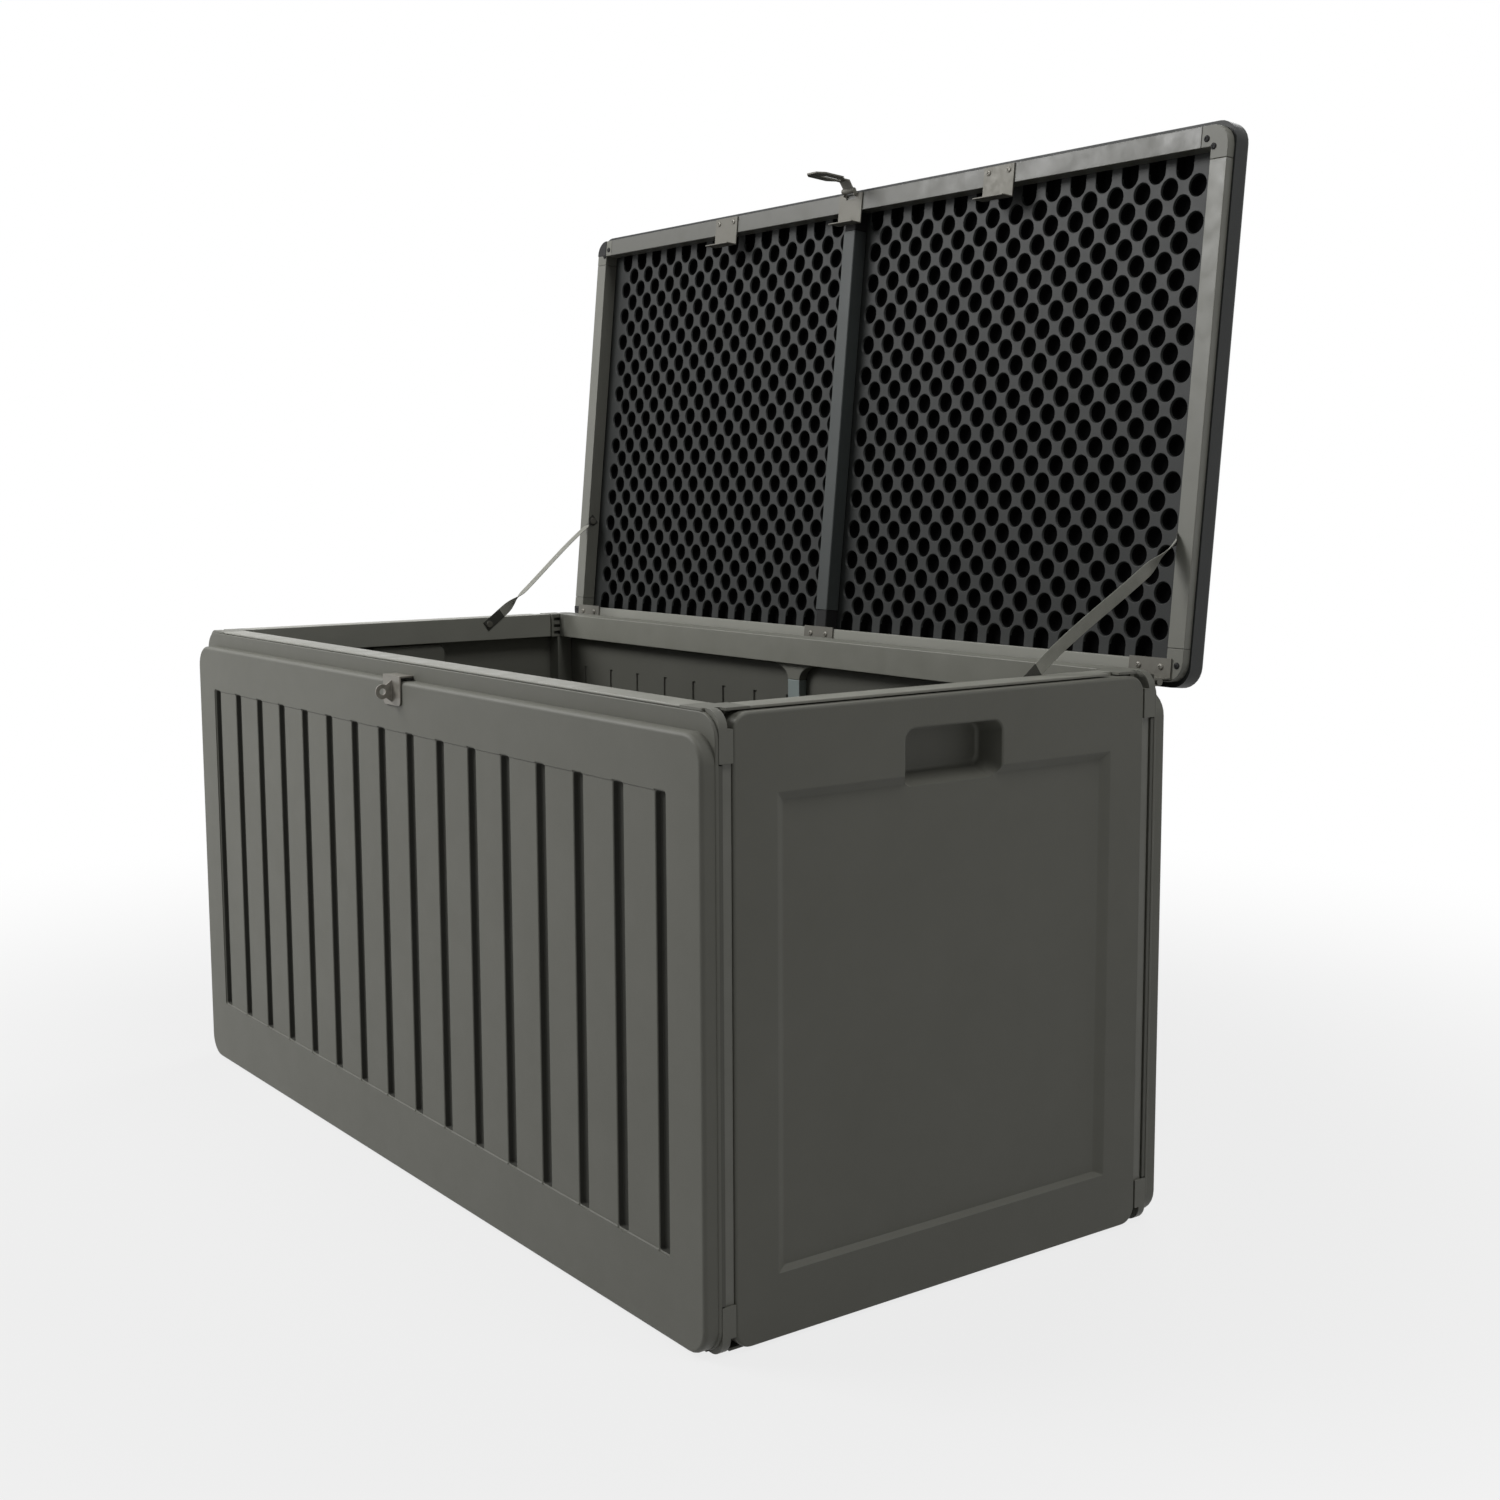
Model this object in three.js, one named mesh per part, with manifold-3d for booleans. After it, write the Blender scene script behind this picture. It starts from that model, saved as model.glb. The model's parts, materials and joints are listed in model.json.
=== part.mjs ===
// Deck storage box: blow-moulded plastic panels on a frame of metal rails and posts, with a hinged
// lid that two webbing straps hold open and a hasp that closes over a staple on the front.
// Millimetres. X runs along the box, -Y is the front, +Z is up.
// The origin is on the floor, under the middle of the body.

import * as THREE from 'three';
import { mergeVertices } from 'three/addons/utils/BufferGeometryUtils.js';
import Module from 'manifold-3d';

const wasm = await Module();
wasm.setup();

// ---------------------------------------------------------------- driving dimensions

const GAP = 0.3;                  // between two pieces that touch

// Body
const BODY_LENGTH = 1214;         // over the faces of the end panels
const BODY_DEPTH = 600;           // over the main faces of the front and back panels
const RIM_HEIGHT = 600;           // floor to the top of the rim
const RIM_REVEAL = 4;             // rim above the tops of the panels

// Front and back panels: a raised main face on a thin flange
const SIDE_THICKNESS = 27;        // main face to inner face
const FACE_RISE = 15;             // main face in front of the flange
const FLANGE_THICKNESS = 3.5;
const FLANGE_AT_SIDES = 1;        // flange beyond the main face at its sides
const FLANGE_AT_TOP = 17;         // and above it
const FACE_CORNER = 28;
const FLANGE_CORNER = 24;
const FACE_EDGE = 4.5;            // rounding of the main face's edges
const FACE_OFF_FLOOR = 2;

// Grooves of the front and back panels
const GROOVE_PITCH = 72;
const GROOVE_WIDTH = 18;
const GROOVE_DEPTH = 7;
const GROOVE_DRAFT = 1.5;
const GROOVE_BOTTOM = 84.5;
const GROOVE_UNDER_RIM = 78.5;
const SLAT_RECESS = 1.2;          // slats behind the plain border
const INNER_GROOVE_WIDTH = 8;
const INNER_GROOVE_DEPTH = 4;
const FRONT_GROOVES = 16;
const BACK_LEFT_GROOVES = 8;
const BACK_RIGHT_GROOVES = 7;
const BACK_SEAM_X = 12.6;         // where the halves of the back meet, behind the centre post
const SEAM_TO_LEFT_GROOVE = 28.3; // seam to the middle of the nearest groove
const SEAM_TO_RIGHT_GROOVE = 75;

// End panels
const END_THICKNESS = 22;
const END_CORNER = 18;
const END_EDGE = 3;
const FIELD_HALF_WIDTH = 217;
const FIELD_BOTTOM = 66;
const FIELD_UNDER_RIM = 79;
const FIELD_DEPTH = 6;
const FIELD_TOP_SLOPE = 10;       // height of the sloped ledge under the upper band
const FIELD_FOOT_SLOPE = 7;
const FIELD_SIDE_SLOPE = 3;

// Handle recess of the end panels
const HANDLE_WIDTH = 126;
const HANDLE_HEIGHT = 59;
const HANDLE_UNDER_RIM = 34.5;
const HANDLE_CORNER = 12;
const HANDLE_DEPTH = 34;
const HANDLE_DRAFT = 3.5;
const HANDLE_LEDGE = 12;          // rise of the slanted lower ledge
const HANDLE_WALL = 2.2;

// Frame
const TUBE_WALL = 1.8;
const POST_SIZE = 24;
const STRIP_SETBACK = 2.5;        // visible strip of a post behind the end panel's face
const STRIP_WIDTH = 10.4;
const STRIP_SLOT = 5.5;           // shadow gap between the strip and the flange
const RAIL_WIDTH = 20.3;
const RAIL_HEIGHT = 34;
const LIP_THICKNESS = 2.7;
const LIP_REACH = 11.3;           // lip over the panels' edges
const LEDGE_REACH = 12;           // ledge of the bottom rails, under the floor
const LIP_NOTCH = 16;             // gap in the lip at the back of each upper end rail

// Corner connectors
const CONNECTOR_ARM = 34;
const PLUG_LENGTH = 30;
const POST_PLUG_LENGTH = 40;
const HEAD_RADIUS = 18;
const HEAD_WIDTH = 9.2;           // of the rounded head, narrower than its leg
const LEG_UNDER_RIM = 48.6;       // rim to the lower end of the leg
const LEG_STANDS_PROUD = 0.5;     // leg in front of the end panel's face
const CORE_SLOTS = 3;
const CORE_SLOT_HEIGHT = 5;
const CORE_SLOT_DEPTH = 8;
const CORE_SLOT_MARGIN = 3.5;

// Back centre post and its tees
const CENTRE_POST_DEPTH = 12;
const TEE_HEIGHT = 21;
const TEE_WIDTH = 76;

// Floor
const FLOOR_THICKNESS = 18;
const FLOOR_RIB_PITCH = 90;
const FLOOR_RIB_WIDTH = 30;
const FLOOR_RIB_DEPTH = 4;

// Lid, in its closed place
const LID_OVERHANG = 11.5;        // lid beyond the end panels' faces
const LID_FRONT_SETBACK = 4;      // lid behind the front panel's main face
const LID_OVER_RIM = 3.5;         // lid rails above the rim
const LID_BEHIND_PIVOT = 6;       // lid's rear edge behind the hinge axis
const LID_RAIL_WIDTH = 22.8;
const LID_RAIL_HEIGHT = 20;
const LID_RAIL_WALL = 1.6;
const LID_PANEL_THICKNESS = 12.7;
const LID_CORNER = 24;
const LID_EDGE = 6;
const DIMPLE_PITCH = 39.4;        // of the pits in the lid's underside, along a row
const DIMPLE_ROW_PITCH = 19.8;
const DIMPLE_RADIUS = 12;
const DIMPLE_DEPTH = 10.5;
const DIMPLE_SIDES = 5;
const DIMPLE_MARGIN = 6.6;        // rail or centre bar to the nearest pits' edges
const SKIRT_HEIGHT = 10;          // of the cover, down over the rails
const SKIRT_SIDE = 2.2;
const SKIRT_FRONT = 5.7;
const LID_ARM = 36;               // arm of a lid corner connector
const LID_PLUG_LENGTH = 26;
const OPEN_ANGLE = 95.5;          // degrees, where the straps stop the lid

// Hinges
const PIVOT_BEHIND_FLANGE = 10;
const PIVOT_UNDER_RIM = 13;
const HINGE_FROM_END = 35;        // end panel's face to the middle of an outer hinge
const HINGE_WIDTH = 59;
const HINGE_PLATE = 1.5;
const HINGE_PIN_RADIUS = 2;
const KNUCKLE_RADIUS = 4.3;
const LID_KNUCKLE_WIDTH = 20;
const LID_LEAF_REACH = 25;        // of the lid leaf, forward of the hinge axis

// Locating clips and hasp bracket on the lid's front rail
const CLIP_FROM_END = 332;
const CLIP_WIDTH = 51;
const CLIP_TONGUE = 17;
const CLIP_CLEARANCE = 0.8;       // tongue behind the front rail
const BRACKET_WIDTH = 46;
const PLATE_LIFT = 0.3;           // plates under the lid rails

// Hasp and staple
const STAPLE_PLATE = 2;
const STAPLE_WIDTH = 42;
const STAPLE_CORNER = 5;
const STAPLE_UNDER_RIM = 49;
const STAPLE_OVER_LEDGE = 4;      // the staple's return above the panel's ledge
const EAR_HEIGHT = 28;
const EAR_REACH = 19.7;
const EAR_UNDER_RIM = 33;         // rim to the ear's middle
const EAR_TIP_RADIUS = 8.5;
const PADLOCK_HOLE = 7.5;
const HASP_PIN_RADIUS = 1.8;
const HASP_KNUCKLE_RADIUS = 3.6;
const HASP_PIN_AHEAD = 7.6;       // hasp pin in front of the flange
const HASP_PIN_UNDER_RIM = 2.4;
const HASP_BAR_WIDTH = 18;
const HASP_LOOP_WIDTH = 36;
const HASP_THICKNESS = 2;
const HASP_CLEARANCE = 0.7;       // hasp in front of the staple's plate
const HASP_KNEE_UNDER_RIM = 10.5; // rim to the bend when latched
const HASP_END_UNDER_RIM = 65;
const HASP_SLOT_WIDTH = 8;
const HASP_SLOT_SPARE = 1.5;      // slot beyond the ear at each end
const LUG_PLATE = 2;

// Straps
const STRAP_WIDTH = 15;
const STRAP_THICKNESS = 1.2;
const STRAP_BOX_FORWARD = 163;    // box end of the strap, forward of the hinge axis
const STRAP_UNDER_RIM = 10;
const STRAP_LID_FORWARD = 155.6;  // lid end of the strap, forward of the hinge axis
const STRAP_LID_DEPTH = 7;        // and above the underside of the lid rails
const STRAP_BOX_TAB = 32;         // flat end on the body's rail, up past the rim
const STRAP_LID_TAB = 16;         // and on the lid's rail
const STRAP_TAIL = 6;             // strap beyond its rivet
const RIVET_RADIUS = 2.3;
const RIVET_HEAD_RADIUS = 5;
const RIVET_HEAD = 1.5;

// ---------------------------------------------------------------- derived places

const endFace = BODY_LENGTH / 2;
const frameX = endFace - END_THICKNESS - GAP;           // outer face of the frame, towards the ends
const sideFace = BODY_DEPTH / 2;
const sideInner = sideFace - SIDE_THICKNESS;
const frameY = sideInner - GAP;                         // outer face of the frame, front and back
const flangeFace = sideFace - FACE_RISE;
const flangeBack = flangeFace - FLANGE_THICKNESS;
const stripFace = endFace - STRIP_SETBACK;
const stripOuter = flangeBack - STRIP_SLOT;
const stripInner = stripOuter - STRIP_WIDTH;
const endHalfDepth = stripInner - GAP;
const panelTop = RIM_HEIGHT - RIM_REVEAL;
const panelBottom = LIP_THICKNESS + GAP;
const railUnderside = RIM_HEIGHT - RAIL_HEIGHT;
const grooveTop = RIM_HEIGHT - GROOVE_UNDER_RIM;
const fieldTop = RIM_HEIGHT - FIELD_UNDER_RIM;
const handleTop = RIM_HEIGHT - HANDLE_UNDER_RIM;
const earCentre = RIM_HEIGHT - EAR_UNDER_RIM;

const lidUnderside = RIM_HEIGHT + LID_OVER_RIM;
const pivotY = flangeFace + PIVOT_BEHIND_FLANGE;
const pivotZ = RIM_HEIGHT - PIVOT_UNDER_RIM;
const lidEnd = endFace + LID_OVERHANG;
const lidBack = pivotY + LID_BEHIND_PIVOT;
const lidFront = LID_FRONT_SETBACK - sideFace;
const lidRailX = lidEnd - SKIRT_SIDE - GAP;             // outer faces of the lid's rails
const lidRailFront = lidFront + SKIRT_FRONT + GAP;
const lidRailBack = lidBack - SKIRT_FRONT - GAP;
const lidPanelUnderside = lidUnderside + LID_RAIL_HEIGHT + GAP;
const hingeX = endFace - HINGE_FROM_END;
const clipX = endFace - CLIP_FROM_END;

// ---------------------------------------------------------------- materials

function finish(color, roughness, metalness = 0) {
  return new THREE.MeshStandardMaterial({ color, roughness, metalness, flatShading: true });
}

const shellPlastic = finish(0x6b6c64, 0.6);
const framePaint = finish(0x82827a, 0.5, 0.2);
const connectorPlastic = finish(0x7f7f76, 0.6);
const postMetal = finish(0x7b8583, 0.4, 0.6);
const lidPlastic = finish(0x2a2a2c, 0.55);
const barPlastic = finish(0x3c4140, 0.6);
const plateSteel = finish(0x9a978e, 0.35, 0.9);
const webbing = finish(0x8d8d82, 0.9);

// ---------------------------------------------------------------- geometry helpers

const ARC_STEPS = 4;              // straight steps in a quarter turn of an outline's corner

// Corner points of a rounded rectangle, anticlockwise; r is one radius or one for each corner.
function roundedOutline({ x0, x1, y0, y1, r = 0 }, arcSteps) {
  const radii = Array.isArray(r) ? r : [r, r, r, r];
  const corners = [[x0, y0, 1, 1], [x1, y0, -1, 1], [x1, y1, -1, -1], [x0, y1, 1, -1]];
  const points = [];
  corners.forEach(([x, y, inX, inY], corner) => {
    const radius = radii[corner];
    const steps = radius > 0 ? arcSteps : 0;
    for (let i = 0; i <= steps; i += 1) {
      const angle = Math.PI * (1 + corner / 2) + (steps ? (i / steps) * (Math.PI / 2) : 0);
      points.push([
        x + inX * radius + radius * Math.cos(angle),
        y + inY * radius + radius * Math.sin(angle),
      ]);
      if (!steps) points[points.length - 1] = [x, y];
    }
  });
  return points;
}

// A closed solid through level rounded rectangles, lowest first, each with its own z.
function loft(levels, arcSteps = ARC_STEPS) {
  const rings = levels.map((level) => roundedOutline(level, arcSteps));
  const count = rings[0].length;
  const positions = rings.flatMap((ring, i) => ring.flatMap(([x, y]) => [x, y, levels[i].z]));
  const indices = [];
  for (let level = 0; level < rings.length - 1; level += 1) {
    for (let i = 0; i < count; i += 1) {
      const a = level * count + i;
      const b = level * count + ((i + 1) % count);
      indices.push(a, b, b + count, a, b + count, a + count);
    }
  }
  const top = (rings.length - 1) * count;
  for (let i = 1; i < count - 1; i += 1) {
    indices.push(0, i + 1, i);
    indices.push(top, top + i, top + i + 1);
  }
  const geometry = new THREE.BufferGeometry();
  geometry.setAttribute('position', new THREE.Float32BufferAttribute(positions, 3));
  geometry.setIndex(indices);
  return geometry;
}

// The outline pulled in by an amount, for an edge rounding or a draft.
function inset(level, amount) {
  const shrink = (radius) => (radius > 0 ? Math.max(radius - amount, 0.5) : 0);
  return {
    ...level,
    x0: level.x0 + amount,
    x1: level.x1 - amount,
    y0: level.y0 + amount,
    y1: level.y1 - amount,
    r: Array.isArray(level.r) ? level.r.map(shrink) : shrink(level.r),
  };
}

// Levels from z0 up to z1 with the edge round z1 rounded off.
function roundedTop(outline, z0, z1, edge, steps = 3, pull = inset) {
  const levels = [{ ...outline, z: z0 }];
  for (let i = 0; i <= steps; i += 1) {
    const angle = (i / steps) * (Math.PI / 2);
    const level = pull(outline, edge * (1 - Math.cos(angle)));
    levels.push({ ...level, z: z1 - edge + edge * Math.sin(angle) });
  }
  return levels;
}

function block(x0, x1, y0, y1, z0, z1) {
  const geometry = new THREE.BoxGeometry(x1 - x0, y1 - y0, z1 - z0);
  return geometry.translate((x0 + x1) / 2, (y0 + y1) / 2, (z0 + z1) / 2);
}

// Turns geometry so that its own x and y run along the given axes, and z along their cross product.
function turned(geometry, xAxis, yAxis) {
  const x = new THREE.Vector3(...xAxis);
  const y = new THREE.Vector3(...yAxis);
  const basis = new THREE.Matrix4().makeBasis(x, y, new THREE.Vector3().crossVectors(x, y));
  return geometry.applyMatrix4(basis);
}

const UP = [0, 0, 1];
const RIGHT = [1, 0, 0];
const BACK = [0, 1, 0];

// Own x along X, y up, z out to the front.
function towardsFront(geometry) {
  return turned(geometry, RIGHT, UP);
}

// Own x along Y, y up, z out to the right.
function towardsRight(geometry) {
  return turned(geometry, BACK, UP);
}

function polygon(points) {
  return new THREE.Shape(points.map(([x, y]) => new THREE.Vector2(x, y)));
}

function extrude(shape, length, curveSegments = 6) {
  return new THREE.ExtrudeGeometry(shape, { depth: length, bevelEnabled: false, curveSegments });
}

// A profile in Y and Z, run from x0 to x1.
function alongX(shape, x0, x1, curveSegments) {
  return towardsRight(extrude(shape, x1 - x0, curveSegments)).translate(x0, 0, 0);
}

// A profile in X and Z, run from y0 to y1.
function alongY(shape, y0, y1, curveSegments) {
  return towardsFront(extrude(shape, y1 - y0, curveSegments)).translate(0, y1, 0);
}

// A profile in X and Y, run from z0 to z1.
function alongZ(shape, z0, z1, curveSegments) {
  return extrude(shape, z1 - z0, curveSegments).translate(0, 0, z0);
}

function cylinderAlongX(radius, x0, x1, y, z, segments = 12) {
  const geometry = new THREE.CylinderGeometry(radius, radius, x1 - x0, segments);
  return geometry.rotateZ(-Math.PI / 2).translate((x0 + x1) / 2, y, z);
}

function solidOf(geometry) {
  const bare = geometry.clone();
  bare.deleteAttribute('normal');
  bare.deleteAttribute('uv');
  const merged = mergeVertices(bare);
  return new wasm.Manifold(new wasm.Mesh({
    numProp: 3,
    vertProperties: new Float32Array(merged.attributes.position.array),
    triVerts: new Uint32Array(merged.index.array),
  }));
}

function geometryOf(solid) {
  const mesh = solid.getMesh();
  const geometry = new THREE.BufferGeometry();
  geometry.setAttribute('position', new THREE.BufferAttribute(mesh.vertProperties, 3));
  geometry.setIndex(new THREE.BufferAttribute(mesh.triVerts, 1));
  return geometry;
}

function join(...geometries) {
  const solids = geometries.map(solidOf);
  return geometryOf(solids.reduce((whole, solid) => whole.add(solid)));
}

function cut(geometry, ...tools) {
  return geometryOf(tools.map(solidOf).reduce((rest, tool) => rest.subtract(tool), solidOf(geometry)));
}

// A mirror image that still faces outwards; each sign is 1 or -1.
function mirrored(geometry, signX, signY, signZ) {
  const image = geometry.clone().scale(signX, signY, signZ);
  if (signX * signY * signZ < 0) {
    const index = image.index.array;
    for (let i = 0; i < index.length; i += 3) {
      [index[i], index[i + 1]] = [index[i + 1], index[i]];
    }
  }
  return image;
}

function addMesh(group, name, geometry, material) {
  geometry.computeVertexNormals();
  const mesh = new THREE.Mesh(geometry, material);
  mesh.name = name;
  group.add(mesh);
  return mesh;
}

// ---------------------------------------------------------------- front and back panels

// A grooved panel between x0 and x1, as seen on the front; its inner layer may be shorter.
function groovedPanel({ x0, x1, innerX0, innerX1, firstGroove, grooves }) {
  const tall = { y0: panelBottom, y1: panelTop };
  const layer = { x0: innerX0, x1: innerX1, ...tall, r: 0 };
  const flange = { x0, x1, ...tall, r: FLANGE_CORNER };
  const face = {
    x0: x0 + FLANGE_AT_SIDES,
    x1: x1 - FLANGE_AT_SIDES,
    y0: FACE_OFF_FLOOR,
    y1: panelTop - FLANGE_AT_TOP,
    r: FACE_CORNER,
  };
  const panel = join(
    loft([{ ...layer, z: sideInner }, { ...layer, z: flangeBack + FLANGE_THICKNESS / 2 }]),
    loft([{ ...flange, z: flangeBack }, { ...flange, z: flangeFace }]),
    loft(roundedTop(face, flangeFace - GAP, sideFace, FACE_EDGE)),
  );
  const tools = [slatField(firstGroove, grooves)];
  for (let i = 0; i < grooves; i += 1) {
    const x = firstGroove + i * GROOVE_PITCH;
    tools.push(outerGroove(x));
    tools.push(innerGroove(x));
  }
  return towardsFront(cut(panel, ...tools));
}

function slatField(firstGroove, grooves) {
  const half = GROOVE_WIDTH / 2;
  const last = firstGroove + (grooves - 1) * GROOVE_PITCH;
  return block(firstGroove - half, last + half, GROOVE_BOTTOM, grooveTop,
    sideFace - SLAT_RECESS, sideFace + GROOVE_DEPTH);
}

function outerGroove(x) {
  const mouth = {
    x0: x - GROOVE_WIDTH / 2,
    x1: x + GROOVE_WIDTH / 2,
    y0: GROOVE_BOTTOM,
    y1: grooveTop,
    r: 0,
  };
  return loft([
    { ...inset(mouth, GROOVE_DRAFT), z: sideFace - GROOVE_DEPTH },
    { ...mouth, z: sideFace + GAP },
  ]);
}

function innerGroove(x) {
  const half = INNER_GROOVE_WIDTH / 2;
  return block(x - half, x + half, GROOVE_BOTTOM, grooveTop,
    sideInner - GAP, sideInner + INNER_GROOVE_DEPTH);
}

function addSidePanels(group) {
  const innerEdge = frameX - GAP;
  const front = groovedPanel({
    x0: -endFace,
    x1: endFace,
    innerX0: -innerEdge,
    innerX1: innerEdge,
    firstGroove: -((FRONT_GROOVES - 1) / 2) * GROOVE_PITCH,
    grooves: FRONT_GROOVES,
  });
  addMesh(group, 'front_panel', front, shellPlastic);
  // The back is modelled as seen from behind, where the box's left is on the right.
  const back = new THREE.Group();
  back.rotation.z = Math.PI;
  const seam = -BACK_SEAM_X;
  const left = groovedPanel({
    x0: seam + GAP,
    x1: endFace,
    innerX0: seam + GAP,
    innerX1: innerEdge,
    firstGroove: seam + SEAM_TO_LEFT_GROOVE,
    grooves: BACK_LEFT_GROOVES,
  });
  addMesh(back, 'back_panel_left', left, shellPlastic);
  const right = groovedPanel({
    x0: -endFace,
    x1: seam - GAP,
    innerX0: -innerEdge,
    innerX1: seam - GAP,
    firstGroove: seam - SEAM_TO_RIGHT_GROOVE - (BACK_RIGHT_GROOVES - 1) * GROOVE_PITCH,
    grooves: BACK_RIGHT_GROOVES,
  });
  addMesh(back, 'back_panel_right', right, shellPlastic);
  group.add(back);
}

// ---------------------------------------------------------------- end panels

// The recessed field, whose top is the sloped ledge under the upper band.
function endField() {
  const mouth = {
    x0: -FIELD_HALF_WIDTH,
    x1: FIELD_HALF_WIDTH,
    y0: FIELD_BOTTOM,
    y1: fieldTop,
    r: 0,
  };
  const floor = {
    x0: mouth.x0 + FIELD_SIDE_SLOPE,
    x1: mouth.x1 - FIELD_SIDE_SLOPE,
    y0: mouth.y0 + FIELD_FOOT_SLOPE,
    y1: mouth.y1 - FIELD_TOP_SLOPE,
    r: 0,
  };
  return loft([
    { ...floor, z: endFace - FIELD_DEPTH },
    { ...mouth, z: endFace },
    { ...mouth, z: endFace + FIELD_DEPTH },
  ]);
}

// The handle's hollow, or with a wall the shell round it.
function handleForm(wall, mouthZ) {
  const mouth = {
    x0: -HANDLE_WIDTH / 2 - wall,
    x1: HANDLE_WIDTH / 2 + wall,
    y0: handleTop - HANDLE_HEIGHT - wall,
    y1: handleTop + wall,
    r: HANDLE_CORNER + wall,
  };
  const floor = {
    x0: mouth.x0 + HANDLE_DRAFT,
    x1: mouth.x1 - HANDLE_DRAFT,
    y0: mouth.y0 + HANDLE_LEDGE,
    y1: mouth.y1 - HANDLE_DRAFT,
    r: HANDLE_CORNER + wall - HANDLE_DRAFT,
  };
  return loft([
    { ...floor, z: endFace - HANDLE_DEPTH - wall },
    { ...mouth, z: endFace },
    { ...mouth, z: mouthZ },
  ]);
}

function endPanel() {
  const outline = {
    x0: -endHalfDepth,
    x1: endHalfDepth,
    y0: panelBottom,
    y1: panelTop,
    r: END_CORNER,
  };
  const plate = loft(roundedTop(outline, endFace - END_THICKNESS, endFace, END_EDGE));
  const cupBack = block(-HANDLE_WIDTH, HANDLE_WIDTH, fieldTop - HANDLE_HEIGHT, RIM_HEIGHT,
    frameX - HANDLE_DEPTH, endFace - END_THICKNESS + END_EDGE);
  const cup = geometryOf(solidOf(handleForm(HANDLE_WALL, endFace + GAP)).intersect(solidOf(cupBack)));
  return cut(join(plate, cup), endField(), handleForm(0, endFace + FIELD_DEPTH));
}

function addEndPanels(group) {
  addMesh(group, 'right_end_panel', towardsRight(endPanel()), shellPlastic);
  const left = addMesh(group, 'left_end_panel', towardsRight(endPanel()), shellPlastic);
  left.rotation.z = Math.PI;
}

// ---------------------------------------------------------------- rails and posts

// The rail's section, with its outward face at x = 0 and its base at y = 0.
function topRailSection() {
  const section = polygon([
    [-RAIL_WIDTH, 0],
    [0, 0],
    [0, RAIL_HEIGHT - LIP_THICKNESS],
    [LIP_REACH, RAIL_HEIGHT - LIP_THICKNESS],
    [LIP_REACH, RAIL_HEIGHT],
    [-RAIL_WIDTH, RAIL_HEIGHT],
  ]);
  section.holes.push(railBore());
  return section;
}

function bottomRailSection() {
  const section = polygon([
    [-RAIL_WIDTH - LEDGE_REACH, 0],
    [LIP_REACH, 0],
    [LIP_REACH, LIP_THICKNESS],
    [0, LIP_THICKNESS],
    [0, RAIL_HEIGHT],
    [-RAIL_WIDTH, RAIL_HEIGHT],
    [-RAIL_WIDTH, LIP_THICKNESS],
    [-RAIL_WIDTH - LEDGE_REACH, LIP_THICKNESS],
  ]);
  section.holes.push(railBore());
  return section;
}

function railBore() {
  return polygon([
    [TUBE_WALL - RAIL_WIDTH, TUBE_WALL],
    [-TUBE_WALL, TUBE_WALL],
    [-TUBE_WALL, RAIL_HEIGHT - TUBE_WALL],
    [TUBE_WALL - RAIL_WIDTH, RAIL_HEIGHT - TUBE_WALL],
  ]);
}

// A rail centred on the body, with its section facing outwards.
function rail(section, outward, offset, base, length) {
  const straight = extrude(section, length).translate(offset, base, -length / 2);
  return turned(straight, outward, UP);
}

function addRails(group) {
  const endRail = 2 * (frameY - CONNECTOR_ARM - GAP);
  const sideRail = 2 * (frameX - CONNECTOR_ARM - GAP);
  const sides = [
    ['front', [0, -1, 0], frameY, sideRail],
    ['back', [0, 1, 0], frameY, sideRail],
    ['left', [-1, 0, 0], frameX, endRail],
    ['right', [1, 0, 0], frameX, endRail],
  ];
  const reach = frameX + LIP_REACH + GAP;
  const notch = block(-reach, reach, endRail / 2 - LIP_NOTCH, endRail / 2 + GAP,
    RIM_HEIGHT - LIP_THICKNESS - GAP, RIM_HEIGHT + GAP);
  const notches = cut(notch, block(-frameX, frameX, 0, endRail, 0, RIM_HEIGHT + LIP_THICKNESS));
  for (const [side, outward, offset, length] of sides) {
    const whole = rail(topRailSection(), outward, offset, railUnderside, length);
    const top = outward[0] ? cut(whole, notches) : whole;
    const bottom = rail(bottomRailSection(), outward, offset, 0, length);
    addMesh(group, `${side}_top_rail`, top, framePaint);
    addMesh(group, `${side}_bottom_rail`, bottom, framePaint);
  }
}

// The post of the corner where X and Y are positive: a square tube with a hollow nose, which passes
// between the end panel and the flange and shows as a strip.
function cornerPost() {
  const z0 = RAIL_HEIGHT + GAP;
  const z1 = railUnderside - GAP;
  const outline = polygon([
    [frameX - POST_SIZE, frameY - POST_SIZE],
    [frameX, frameY - POST_SIZE],
    [frameX, stripInner],
    [stripFace, stripInner],
    [stripFace, stripOuter],
    [frameX, stripOuter],
    [frameX, frameY],
    [frameX - POST_SIZE, frameY],
  ]);
  return cut(
    alongZ(outline, z0, z1),
    block(frameX - POST_SIZE + TUBE_WALL, frameX - TUBE_WALL,
      frameY - POST_SIZE + TUBE_WALL, frameY - TUBE_WALL, z0 - GAP, z1 + GAP),
    block(frameX + TUBE_WALL, stripFace - TUBE_WALL,
      stripInner + TUBE_WALL, stripOuter - TUBE_WALL, z0 - GAP, z1 + GAP),
  );
}

const CORNERS = [
  ['front_left', -1, -1],
  ['front_right', 1, -1],
  ['back_left', -1, 1],
  ['back_right', 1, 1],
];

function addPosts(group) {
  const pattern = cornerPost();
  for (const [corner, signX, signY] of CORNERS) {
    addMesh(group, `${corner}_post`, mirrored(pattern, signX, signY, 1), framePaint);
  }
}

// ---------------------------------------------------------------- corner connectors

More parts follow.
